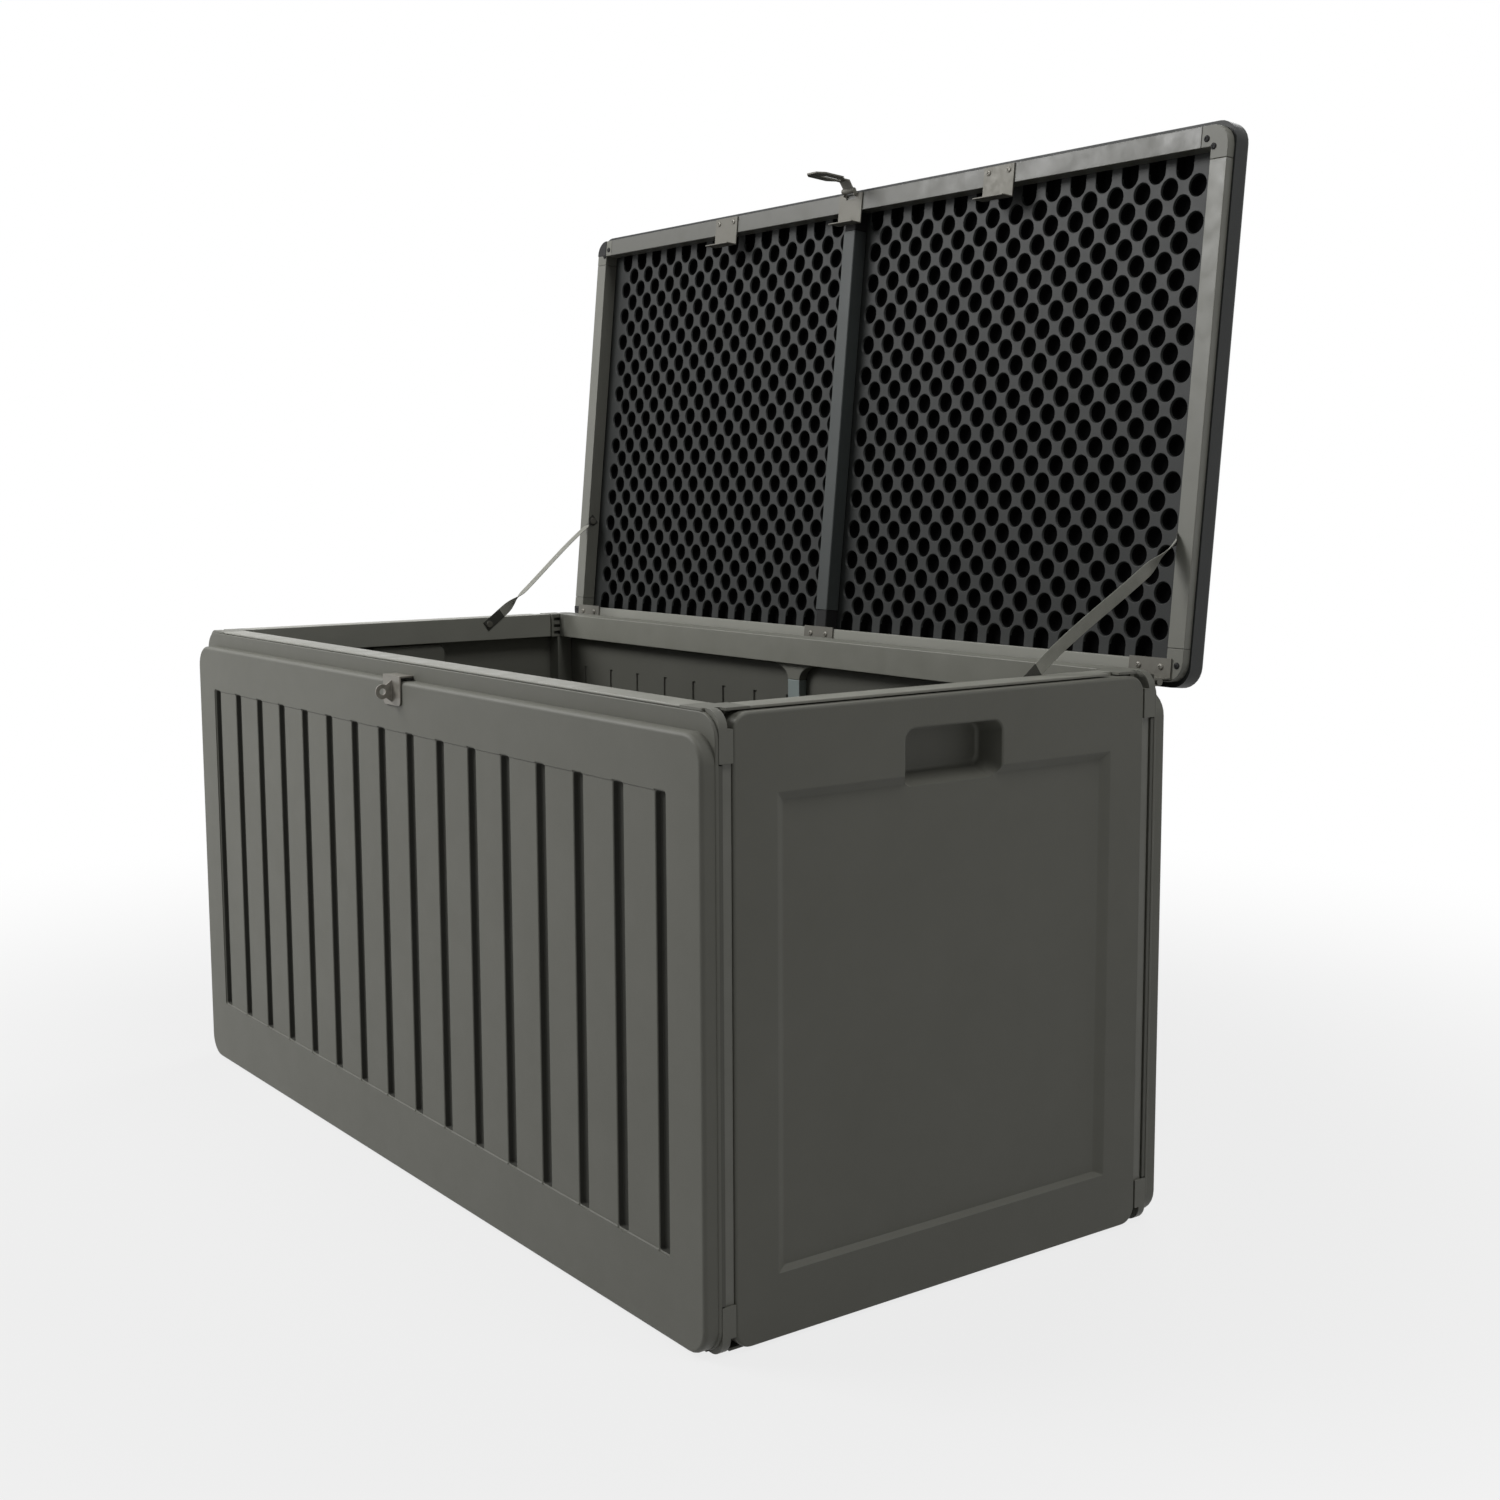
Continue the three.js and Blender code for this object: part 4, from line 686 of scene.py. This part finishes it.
def handle_levels(wall):
    """The handle's mouth and floor, let out by its wall for the cup behind the panel."""
    mouth = Level(-HANDLE_WIDTH / 2 - wall, HANDLE_WIDTH / 2 + wall,
                  HANDLE_TOP - HANDLE_HEIGHT - wall, HANDLE_TOP + wall,
                  HANDLE_CORNER + wall, END_FACE)
    floor = Level(mouth.x0 + HANDLE_DRAFT, mouth.x1 - HANDLE_DRAFT, mouth.y0 + HANDLE_LEDGE,
                  mouth.y1 - HANDLE_DRAFT, HANDLE_CORNER, 0)
    return mouth, floor


def in_cup(middle):
    """Whether a face's middle is in the handle's outline, seen from outside the box."""
    return (abs(middle.x) < HANDLE_WIDTH / 2 - NEAR
            and HANDLE_TOP - HANDLE_HEIGHT - NEAR < middle.y < HANDLE_TOP + NEAR)


def end_panel(name, place):
    half_depth = high("right_end_panel").y
    plate = Level(-half_depth, half_depth, PANEL_BOTTOM, PANEL_TOP, END_CORNER, 0)
    back = END_FACE - END_THICKNESS
    panel = mesh_object(name, [loft(rounded_top(plate, back, END_FACE, END_EDGE))])
    mouth, floor = handle_levels(HANDLE_WALL)
    cup = [level for level in hollow(mouth, CUP_SINK, floor=floor) if level.z < back]
    root = back + CUP_OVERLAP
    share = (root - cup[-1].z) / (mouth.z - cup[-1].z)
    cup.append(Level(*(a + (b - a) * share for a, b in zip(cup[-1][:4], mouth[:4])),
                     mouth.r, root))
    join(panel, [loft(cup)])
    field = Level(-FIELD_HALF_WIDTH, FIELD_HALF_WIDTH, FIELD_BOTTOM, FIELD_TOP, FIELD_CORNER,
                  END_FACE)
    levels = []
    for i in range(FIELD_STEPS + 1):
        t = i / FIELD_STEPS
        rise = (1 - FIELD_EASING) * t + FIELD_EASING * eased(t)
        levels.append(Level(
            field.x0 + FIELD_SIDE_SLOPE * (1 - t), field.x1 - FIELD_SIDE_SLOPE * (1 - t),
            field.y0 + FIELD_FOOT_SLOPE * (1 - t), field.y1 - FIELD_TOP_SLOPE * (1 - t),
            FIELD_CORNER, END_FACE - FIELD_DEPTH * (1 - rise)))
    levels.append(field._replace(z=END_FACE + FIELD_BEYOND))
    cut(panel, [loft(levels)])
    mouth, floor = handle_levels(0)
    cut(panel, [loft(hollow(mouth, HANDLE_SINK, beyond=3, floor=floor))])
    # The cup shows on both sides, so only the flat inner wall takes the painted shade. A part of
    # that wall that runs round the cup has its middle there, and stays as light as the cup.
    finish_by_place(panel, lambda middle: middle.z < back + NEAR and not in_cup(middle))
    panel.data.transform(place)
    smooth(panel)
    return panel


def add_end_panels():
    for side, place in (("right", RIGHT), ("left", LEFT)):
        dress(end_panel(f"{side}_end_shell", place), (SHELL, SHELL_INSIDE_SHADE), "box",
              f"{side}_end_panel")


# ---------------------------------------------------------------- floor of the box

FLOOR_EDGE = 1.5
FLOOR_CORNER = 2
FLOOR_OVERLAP = 12                # of the floor's two oblongs, one narrower for the connectors
FLOOR_RIB_PITCH = 90
FLOOR_RIB_WIDTH = 30
FLOOR_RIB_CORNER = 3
FLOOR_RIB_SINK = Sink(4, 4, 0.8, 1.2)


def box_floor(name, mirror):
    """Half of the floor, notched round the corner connectors, with its shallow ribs above."""
    start, end = low("floor_panel_right"), high("floor_panel_right")
    arm_x, arm_y = high("front_bottom_rail").x, high("right_bottom_rail").y
    wide = Level(start.x, arm_x, start.y, end.y, FLOOR_CORNER, 0)
    outer = Level(arm_x - FLOOR_OVERLAP, end.x, -arm_y, arm_y, FLOOR_CORNER, 0)
    panel = mesh_object(name, [loft(rounded_top(wide, start.z, end.z, FLOOR_EDGE, steps=4))])
    join(panel, [loft(rounded_top(outer, start.z, end.z, FLOOR_EDGE, steps=4))])
    ribs = []
    x = start.x + FLOOR_RIB_PITCH / 2
    while x < arm_x - FLOOR_RIB_WIDTH:
        mouth = Level(x, x + FLOOR_RIB_WIDTH, -arm_y, arm_y, FLOOR_RIB_CORNER, end.z)
        ribs.append(loft(hollow(mouth, FLOOR_RIB_SINK, beyond=2), steps=3))
        x += FLOOR_RIB_PITCH
    cut(panel, ribs)
    if mirror:
        mirrored(panel)
    panel.data.transform(PLAIN)
    smooth(panel)
    return panel


def add_box_floor():
    for side, mirror in (("right", False), ("left", True)):
        # The floor inside the box takes the painted shade all over.
        dress(box_floor(f"box_floor_{side}", mirror), SHELL_INSIDE_SHADE, "box", f"floor_panel_{side}")


# ---------------------------------------------------------------- lid panels

LID_LENGTH = 1237
LID_CORNER = 24
LID_EDGE = 6
LID_PANEL_THICKNESS = 12.7
SKIRT_HEIGHT = 10                 # of the cover's skirt below the rails' upper faces
SKIRT_SIDE = 2.2
SKIRT_FRONT = 5.7
POCKET_BEYOND = 1                 # how far the pocket's tool reaches below the skirt
DIMPLE_PITCH = 39.4               # along a row
DIMPLE_ROW = 19.8                 # from one row to the next
DIMPLE_MOUTH = 12
DIMPLE_FLOOR = 8.5
DIMPLE_DEPTH = 10.5
DIMPLE_LIP = 2.6                  # edge of a pit in the lid's own colour, above the painted shade in its depth
DIMPLE_SIDES = 20
DIMPLE_MARGIN = 6.6               # from a pit's edge to the side rail or the centre bar
LID_RAIL_WIDTH = 22.8
SLOT_UNDER_RAIL = 6               # how far the outer rows' slots run in behind the rails
SLOT_CORNER = 1
SLOT_LIP = ((0.8, -1), (0.3, 0.3), (0, 1))  # how much wider a slot is, and how deep there
SLOT_FLOOR_RISE = 0.6             # of a slot's floor above its pit's


def closed_box(node):
    """A lid node's lowest and highest corners with the lid closed, in millimetres."""
    back = TO_OPEN.inverted()
    points = [back @ (v.co / MM) for v in frame["nodes"][node].data.vertices]
    return (Vector(map(min, zip(*points))), Vector(map(max, zip(*points))))


def dimple():
    """A round kiss-off pit with a soft lip and a dished floor, opening downwards from z = 0."""
    return turned([
        (DIMPLE_MOUTH + 1.6, -1.0), (DIMPLE_MOUTH + 0.9, 0.0), (DIMPLE_MOUTH + 0.3, 0.35),
        (DIMPLE_MOUTH, 1.0), (DIMPLE_MOUTH - 0.8, DIMPLE_LIP),
        (DIMPLE_FLOOR + 0.8, DIMPLE_DEPTH - 2.4), (DIMPLE_FLOOR, DIMPLE_DEPTH - 1.2),
        (DIMPLE_FLOOR - 1.6, DIMPLE_DEPTH - 0.3), (DIMPLE_FLOOR - 3.5, DIMPLE_DEPTH),
    ], DIMPLE_SIDES)


def dimple_places(stagger, rail_face, front, back):
    """The pits' middles in the right half, row by row from the front rail to the back one."""
    from_edge = DIMPLE_MARGIN + DIMPLE_MOUTH
    steps = math.floor((back - front - 2 * DIMPLE_MOUTH) / DIMPLE_ROW)
    first = (front + back - steps * DIMPLE_ROW) / 2
    places = []
    for row in range(steps + 1):
        x = LID_RAIL_WIDTH / 2 + from_edge + (row + stagger) % 2 * DIMPLE_PITCH / 2
        while x <= rail_face - from_edge:
            places.append((x, first + row * DIMPLE_ROW))
            x += DIMPLE_PITCH
    return places


def slot_to_rail(x, y, front, back, z):
    """Opens a pit of the first or last row towards the rail beside it."""
    if y - front < back - y:
        y0, y1 = front - SLOT_UNDER_RAIL, y
    else:
        y0, y1 = y, back + SLOT_UNDER_RAIL
    mouth = Level(x - DIMPLE_MOUTH, x + DIMPLE_MOUTH, y0, y1, SLOT_CORNER, z)
    floor = Level(x - DIMPLE_FLOOR, x + DIMPLE_FLOOR, y0, y1, SLOT_CORNER,
                  z + DIMPLE_DEPTH - SLOT_FLOOR_RISE)
    return loft([inset(mouth, -wider, z + depth) for wider, depth in SLOT_LIP] + [floor], steps=3)


def lid_panel(name, mirror, stagger):
    """Half of the lid: a plain cover with rounded edges over a pitted underside."""
    low_corner, high_corner = closed_box("lid_panel_right")
    front = closed_box("lid_front_rail")[1].y
    back = closed_box("lid_back_rail")[0].y
    side = closed_box("lid_right_rail")[0].x
    underside = closed_box("lid_back_rail")[1].z + GAP
    top = underside + LID_PANEL_THICKNESS
    skirt = underside - GAP - SKIRT_HEIGHT
    x1 = LID_LENGTH / 2
    cover = Level(GAP, x1, low_corner.y, high_corner.y, (0, LID_CORNER, LID_CORNER, 0), 0)

    def keep_middle(level, amount):
        return inset(level, amount)._replace(x0=level.x0)

    panel = mesh_object(name, [loft(rounded_top(cover, skirt, top, LID_EDGE, pull=keep_middle))])
    inner = LID_CORNER - SKIRT_SIDE
    pocket = Level(-GAP, x1 - SKIRT_SIDE, low_corner.y + SKIRT_FRONT, high_corner.y - SKIRT_FRONT,
                   (0, inner, inner, 0), 0)
    cut(panel, [loft([pocket._replace(z=skirt - POCKET_BEYOND), pocket._replace(z=underside)])])
    places = dimple_places(stagger, side, front, back)
    pit = dimple()
    cut(panel, [moved(pit, x, y, underside) for x, y in places])
    cut(panel, [slot_to_rail(x, y, front, back, underside)
                for x, y in places if min(y - front, back - y) < DIMPLE_ROW])

    # Faces deep in a pit or its slot take the painted shade.
    def in_pit_shade(middle):
        return (underside + DIMPLE_LIP < middle.z < underside + DIMPLE_DEPTH + NEAR
                and GAP + NEAR < middle.x < side
                and front - SLOT_UNDER_RAIL - NEAR < middle.y < back + SLOT_UNDER_RAIL + NEAR)

    finish_by_place(panel, in_pit_shade)
    if mirror:
        mirrored(panel)
    panel.data.transform(CLOSED_LID)
    smooth(panel)
    return panel


def add_lid_panels():
    for side, mirror, stagger in (("right", False, 0), ("left", True, 1)):
        dress(lid_panel(f"lid_shell_{side}", mirror, stagger), (LID, LID_PIT_SHADE), "lid",
              f"lid_panel_{side}")


# ---------------------------------------------------------------- lid's centre bar

BAR_END = 24                      # length of the black fitting at each end of the bar
BAR_EDGE = 1.6
BAR_END_INSET = 0.8               # how much slimmer a fitting is than the bar, on each side
BAR_CHAMFER = 0.5


def along_y(x0, x1, y0, y1, z0, z1, edge):
    """A bar along Y with rounded long edges."""
    section = Level(x0, x1, z0, z1, edge, 0)
    vertices, faces = loft([
        inset(section, BAR_CHAMFER, -y1), section._replace(z=BAR_CHAMFER - y1),
        section._replace(z=-y0 - BAR_CHAMFER), inset(section, BAR_CHAMFER, -y0)], steps=3)
    return [(x, -z, y) for x, y, z in vertices], faces


def add_centre_bar():
    start, end = closed_box("lid_centre_bar")
    tube = mesh_object("centre_bar_tube", [along_y(
        start.x, end.x, start.y + BAR_END, end.y - BAR_END, start.z, end.z, BAR_EDGE)])
    tube.data.transform(CLOSED_LID)
    smooth(tube)
    dress(tube, BAR, "lid", "lid_centre_bar")
    ends = mesh_object("centre_bar_ends", [
        along_y(start.x + BAR_END_INSET, end.x - BAR_END_INSET, y0, y1,
                start.z + BAR_END_INSET, end.z, BAR_EDGE)
        for y0, y1 in ((start.y, start.y + BAR_END - GAP), (end.y - BAR_END + GAP, end.y))])
    ends.data.transform(CLOSED_LID)
    smooth(ends)
    dress(ends, BLACK, "lid", slot="bar_plastic")


# ---------------------------------------------------------------- softened metalwork

SAME_POINT = 2e-6                 # metres
BEVEL_ABOVE = 30                  # degrees between two faces
# The finish and the width of the broken edges, by material slot.
SOFTENED = {"frame_paint": (FRAME, 1.5), "post_metal": (POST, 1.5),
            "connector_plastic": (CONNECTOR, 0.7), "plate_steel": (STEEL, 0.35)}
# Nodes with a finish of their own: the staple's steel, lighter copies of the frame paint as painted
# light on the body's top rails and the lid's back rail, and a darker copy as painted shade on the
# lid's front rail.
OWN_FINISH = {"staple": STAPLE, "lid_front_rail": LID_FRONT_RAIL_SHADE, "back_top_rail": TOP_RAIL_PAINTED_LIGHT}
for rail in ("lid_back_rail", "front_top_rail", "left_top_rail", "right_top_rail"):
    OWN_FINISH[rail] = RAIL_PAINTED_LIGHT


def softened(node, finish, width):
    """The node's own form with its sharp edges broken."""
    source = frame["nodes"][node]
    mesh = bmesh.new()
    mesh.from_mesh(source.data)
    bmesh.ops.remove_doubles(mesh, verts=mesh.verts, dist=SAME_POINT)
    bmesh.ops.dissolve_limit(mesh, angle_limit=math.radians(1), verts=mesh.verts,
                             edges=mesh.edges, use_dissolve_boundaries=False)
    data = bpy.data.meshes.new(node + "_soft")
    mesh.to_mesh(data)
    mesh.free()
    made = add_object(node + "_soft", data)
    bevel = made.modifiers.new("edges", "BEVEL")
    bevel.width = width * MM
    bevel.segments = 2
    bevel.limit_method = "ANGLE"
    bevel.angle_limit = math.radians(BEVEL_ABOVE)
    bevel.use_clamp_overlap = True
    made.data = evaluated(made)
    made.modifiers.clear()
    smooth(made, angle=40)
    dress(made, OWN_FINISH.get(node, finish), source["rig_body"], node)


def soften_metalwork():
    for node in sorted(frame["nodes"]):
        if NODE_SLOT[node] in SOFTENED:
            softened(node, *SOFTENED[NODE_SLOT[node]])


# ---------------------------------------------------------------- screws

SCREW_RADIUS = 3.6
SCREW_HEIGHT = 1.5
SCREW_SIDES = 16
SCREW_SPIN = 37                   # degrees from one screw's cross to the next, less quarter turns
CROSS_REACH = 0.62                # of the head's radius
CROSS_HALF_WIDTH = 0.13           # of the head's radius
CROSS_FLOOR = 0.35                # of the head's height
HINGE_SCREW = (15.5, 9.5)         # across from the leaf's middle, and in from its front edge
CLIP_SCREW = (17, 7)
CORNER_SCREWS = ((608, 277), (597, 290), (587, -276), (597, -267))  # on the right half
# Black pieces at the lid's left corners, which paint the shade there.
SHADE_CAP_SIZE = 22
SHADE_CAP_CORNER = 20
SHADE_CAP_EDGE = 0.4
SHADE_CAP_OVERLAP = 1                   # how far a black piece of painted shade runs into its connector
PLATE_UNDERSIDE = 1.8             # a plate's outer face under the lid's rails


def screw_head():
    """A pan head with a cross recess, standing on z = 0."""
    profile = ((1.0, -0.3), (1.0, 0.3), (0.94, 0.62), (0.75, 0.88), (0.4, 1.0))
    head = mesh_object("screw", [turned(
        [(SCREW_RADIUS * share, SCREW_HEIGHT * up) for share, up in profile], SCREW_SIDES)])
    arm, half = SCREW_RADIUS * CROSS_REACH, SCREW_RADIUS * CROSS_HALF_WIDTH
    z0, z1 = SCREW_HEIGHT * CROSS_FLOOR, SCREW_HEIGHT + 1
    cut(head, [block(-arm, arm, -half, half, z0, z1)])
    cut(head, [block(-half, half, -arm, arm, z0, z1)])
    pattern = ([v.co.copy() for v in head.data.vertices],
               [list(face.vertices) for face in head.data.polygons])
    bpy.data.objects.remove(head)
    return pattern


def hung(pattern, point, spin):
    """The pattern moved to a point, its own z pointing down and turned about it."""
    turn = Vector((0, 0, -1)).to_track_quat("Z", "Y").to_matrix().to_4x4()
    move = Matrix.Translation(point) @ turn @ Matrix.Rotation(math.radians(spin), 4, "Z")
    vertices, faces = pattern
    return [tuple(move @ v) for v in vertices], faces


def lid_screw_places():
    """Where the plates' and the corners' screws stand, with the lid closed."""
    underside = closed_box("lid_back_rail")[0].z
    screwed = [(f"{side}_hinge_lid_leaf", *HINGE_SCREW) for side in ("left", "centre", "right")]
    screwed += [(f"{side}_lid_clip", *CLIP_SCREW) for side in ("left", "right")]
    plates = []
    for node, across, inwards in screwed:
        start, end = closed_box(node)
        middle = (start.x + end.x) / 2
        for offset in (-across, across):
            plates.append((middle + offset, start.y + inwards, underside - PLATE_UNDERSIDE))
    corners = [(sign * x, y, underside) for sign in (-1, 1) for x, y in CORNER_SCREWS]
    return plates, corners


def add_shade_caps():
    """Black pieces under the lid's left corners, outside the ends of the rails, which paint the
    shade there.
    """
    parts = []
    for corner in ("front_left", "back_left"):
        start, end = closed_box(f"lid_{corner}_connector")
        front = corner.startswith("front")
        y0 = start.y if front else end.y - SHADE_CAP_SIZE
        corners = (SHADE_CAP_CORNER, 1, 1, 1) if front else (1, 1, 1, SHADE_CAP_CORNER)
        shade_cap = Level(start.x, start.x + SHADE_CAP_SIZE, y0, y0 + SHADE_CAP_SIZE, corners, 0)
        parts.append(loft([inset(shade_cap, SHADE_CAP_EDGE, start.z - 2 * SHADE_CAP_EDGE),
                           shade_cap._replace(z=start.z - SHADE_CAP_EDGE),
                           shade_cap._replace(z=start.z + SHADE_CAP_OVERLAP)]))
    shade_caps = mesh_object("lid_corner_painted_shade", parts)
    shade_caps.data.transform(CLOSED_LID)
    smooth(shade_caps, angle=40)
    dress(shade_caps, BLACK, "lid", slot="connector_plastic")


def add_screws():
    pattern = screw_head()
    plates, corners = lid_screw_places()
    for name, places, finish in (("plate_screws", plates, SCREW),
                                 ("corner_screws", corners, BLACK)):
        screws = mesh_object(name, [hung(pattern, point, SCREW_SPIN * index % 90)
                                    for index, point in enumerate(places)])
        screws.data.transform(CLOSED_LID)
        smooth(screws, angle=40)
        dress(screws, finish, "lid", slot="plate_steel")


# ---------------------------------------------------------------- straps

STRAP_WIDTH = 15
STRAP_THICKNESS = 1.2
STRAP_TAIL = 6                    # beyond each rivet
STRAP_BOX_TAB = 32                # lies flat against the box's rail
STRAP_LID_TAB = 16                # lies flat against the lid's rail
STRAP_SHADE_AT_BOX = 26            # painted shade on the tape's end at the box's rail
STRAP_SHADE_AT_LID = 12
STRAP_STEP = 3
STRAP_BEVEL = 0.5
STRAP_SIDE = 0.4                  # share of the thickness that the upright side takes
RIGHT_TWIST = 56                  # degrees, near the lid
RIGHT_TWIST_FROM_END = 62
RIGHT_TWIST_RUN = 36              # length over which the twist builds up
LEFT_TWIST = -88                  # degrees, from the box's tab on
LEFT_TWIST_RUN = 46


def strap_twist(side, along, length):
    """The strap's turn about its own run, in degrees."""
    fall = eased((length - along) / STRAP_LID_TAB)
    if side == "right":
        start = length - RIGHT_TWIST_FROM_END
        return RIGHT_TWIST * min(eased((along - start) / RIGHT_TWIST_RUN), fall)
    return LEFT_TWIST * min(eased((along - STRAP_BOX_TAB) / LEFT_TWIST_RUN), fall)


def middle_of(node):
    return (low(node) + high(node)) / 2


def stay_strap(side):
    """A woven tape from the body's rail to the lid's, turned about its run as it hangs."""
    sign = 1 if side == "right" else -1
    node = f"{side}_stay_strap"
    start = middle_of(f"{side}_box_strap_rivet")
    end = middle_of(f"{side}_lid_strap_rivet")
    faces_x = sorted(v.co.x / MM * sign for v in frame["nodes"][node].data.vertices)
    box_x = sign * (faces_x[0] + STRAP_THICKNESS / 2)
    lid_x = sign * (faces_x[-1] - STRAP_THICKNESS / 2)
    run = Vector((0, end.y - start.y, end.z - start.z))
    length = run.length
    run.normalize()
    across = Vector((0, -run.z, run.y))
    count = round((length + 2 * STRAP_TAIL) / STRAP_STEP)
    half, thick = STRAP_WIDTH / 2, STRAP_THICKNESS / 2
    flat, side_edge = half - STRAP_BEVEL, thick * STRAP_SIDE
    ring = [(-half, -side_edge), (-flat, -thick), (flat, -thick), (half, -side_edge),
            (half, side_edge), (flat, thick), (-flat, thick), (-half, side_edge)]
    vertices, coordinates = [], []
    travelled, before = 0.0, None
    for k in range(count + 1):
        along = -STRAP_TAIL + (length + 2 * STRAP_TAIL) * k / count
        share = eased((along - STRAP_BOX_TAB) / (length - STRAP_LID_TAB - STRAP_BOX_TAB))
        centre = Vector((box_x + (lid_x - box_x) * share, start.y, start.z)) + run * along
        if before is not None:
            travelled += (centre - before).length
        before = centre
        angle = math.radians(strap_twist(side, along, length)) * sign
        wide = across * math.cos(angle) + Vector((1, 0, 0)) * math.sin(angle)
        normal = Vector((1, 0, 0)) * math.cos(angle) - across * math.sin(angle)
        for w, t in ring:
            vertices.append(tuple(centre + wide * w + normal * t))
            coordinates.append((w * MM, travelled * MM))
    size = len(ring)
    faces = [list(range(size))]
    for k in range(count):
        for i in range(size):
            j = (i + 1) % size
            faces.append([k * size + i, (k + 1) * size + i, (k + 1) * size + j, k * size + j])
    faces.append([count * size + i for i in range(size)][::-1])
    strap = mesh_object(f"{side}_webbing", [(vertices, faces)])
    layer = strap.data.uv_layers.new(name="weave")
    for loop in strap.data.loops:
        layer.data[loop.index].uv = coordinates[loop.vertex_index]
    foot = Vector((0, start.y, start.z))

    # The tape's two ends take the painted shade.
    def in_shaded_end(middle):
        along = (Vector((0, middle.y, middle.z)) - foot).dot(run)
        return along < STRAP_SHADE_AT_BOX or along > length - STRAP_SHADE_AT_LID

    finish_by_place(strap, in_shaded_end)
    strap.data.transform(PLAIN)
    smooth(strap, angle=50)
    dress(strap, (STRAP_FINISH, STRAP_SHADE_FINISH), None, node)
    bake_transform(strap)


# ---------------------------------------------------------------- floor and light

FLOOR_COLOUR = 0.38
FLOOR_ROUGHNESS = 0.9
FLOOR_SIZE = 30.0                 # metres, as are the other lengths here
FLOOR_DROP = 0.0005
FADE_START = 0.7                  # from the middle of the box to where the floor turns white
FADE_END = 2.2
WHITE_NEAR = 0.8                  # the share of white that the camera sees close to the box
WORLD_STRENGTH = 0.08
WHITE_VIEW = 1.0
WHITE = (1, 1, 1, 1)

# Each lamp's name, place, target, size and watts.
LAMPS = (
    ("key", (-1.7, -2.1, 2.5), (0, 0, 0.5), (1.6, 1.2), 76),
    ("top", (1.8, 0.2, 3.5), (0.2, 0, 0.3), (1.3, 1.3), 34),
    ("back", (-1.4, 3.0, 2.4), (0, 0.3, 0.6), (2.0, 1.6), 50),
)


def seen_directly(tree):
    """1 where the camera, a mirror or glass looks, and 0 where light is gathered."""
    rays = tree.nodes.new("ShaderNodeLightPath").outputs
    camera_or_mirror = maths(tree, "MAXIMUM", rays["Is Camera Ray"], rays["Is Glossy Ray"])
    return maths(tree, "MAXIMUM", camera_or_mirror, rays["Is Transmission Ray"])


def mixed_output(tree, share, first, second, output):
    """Sends two shaders, mixed by the share, to the tree's output."""
    mix = tree.nodes.new("ShaderNodeMixShader")
    tree.links.new(share, mix.inputs[0])
    tree.links.new(first.outputs[0], mix.inputs[1])
    tree.links.new(second.outputs[0], mix.inputs[2])
    tree.links.new(mix.outputs[0], tree.nodes[output].inputs["Surface"])


def add_floor():
    half = FLOOR_SIZE / 2
    corners = [(-half, -half, 0), (half, -half, 0), (half, half, 0), (-half, half, 0)]
    floor = mesh_object("studio_floor", [(corners, [[0, 1, 2, 3]])])
    floor.location.z = -FLOOR_DROP
    material = bpy.data.materials.new("studio_floor")
    material.use_nodes = True
    tree = material.node_tree
    shader = tree.nodes["Principled BSDF"]
    shader.inputs["Base Color"].default_value = (FLOOR_COLOUR,) * 3 + (1,)
    shader.inputs["Roughness"].default_value = FLOOR_ROUGHNESS
    shader.inputs["Specular IOR Level"].default_value = 0.0
    glow = tree.nodes.new("ShaderNodeEmission")
    glow.inputs["Color"].default_value = WHITE
    glow.inputs["Strength"].default_value = WHITE_VIEW
    place = tree.nodes.new("ShaderNodeTexCoord")
    distance = tree.nodes.new("ShaderNodeVectorMath")
    distance.operation = "LENGTH"
    tree.links.new(place.outputs["Object"], distance.inputs[0])
    fade = tree.nodes.new("ShaderNodeMapRange")
    fade.interpolation_type = "SMOOTHSTEP"
    for socket, value in (("From Min", FADE_START), ("From Max", FADE_END),
                          ("To Min", WHITE_NEAR), ("To Max", 1.0)):
        fade.inputs[socket].default_value = value
    tree.links.new(distance.outputs["Value"], fade.inputs["Value"])
    share = maths(tree, "MULTIPLY", seen_directly(tree), fade.outputs["Result"])
    mixed_output(tree, share, shader, glow, "Material Output")
    floor.data.materials.append(material)


def add_world():
    world = bpy.data.worlds.new("studio")
    bpy.context.scene.world = world
    world.use_nodes = True
    tree = world.node_tree
    soft = tree.nodes["Background"]
    white = tree.nodes.new("ShaderNodeBackground")
    for background, strength in ((soft, WORLD_STRENGTH), (white, WHITE_VIEW)):
        background.inputs["Color"].default_value = WHITE
        background.inputs["Strength"].default_value = strength
    mixed_output(tree, seen_directly(tree), soft, white, "World Output")


def add_lamp(name, place, target, size, power):
    data = bpy.data.lights.new(name, "AREA")
    data.shape = "RECTANGLE"
    data.size, data.size_y = size
    data.energy = power
    lamp = add_object(name, data)
    turn = (Vector(target) - Vector(place)).to_track_quat("-Z", "Y").to_matrix().to_4x4()
    lamp.matrix_world = Matrix.Translation(place) @ turn


# ---------------------------------------------------------------- making

add_side_panels()
add_end_panels()
add_box_floor()
add_lid_panels()
add_centre_bar()
soften_metalwork()
add_shade_caps()
add_screws()
stay_strap("left")
stay_strap("right")
add_floor()
add_world()
for lamp in LAMPS:
    add_lamp(*lamp)
bpy.context.scene.view_settings.view_transform = "Standard"
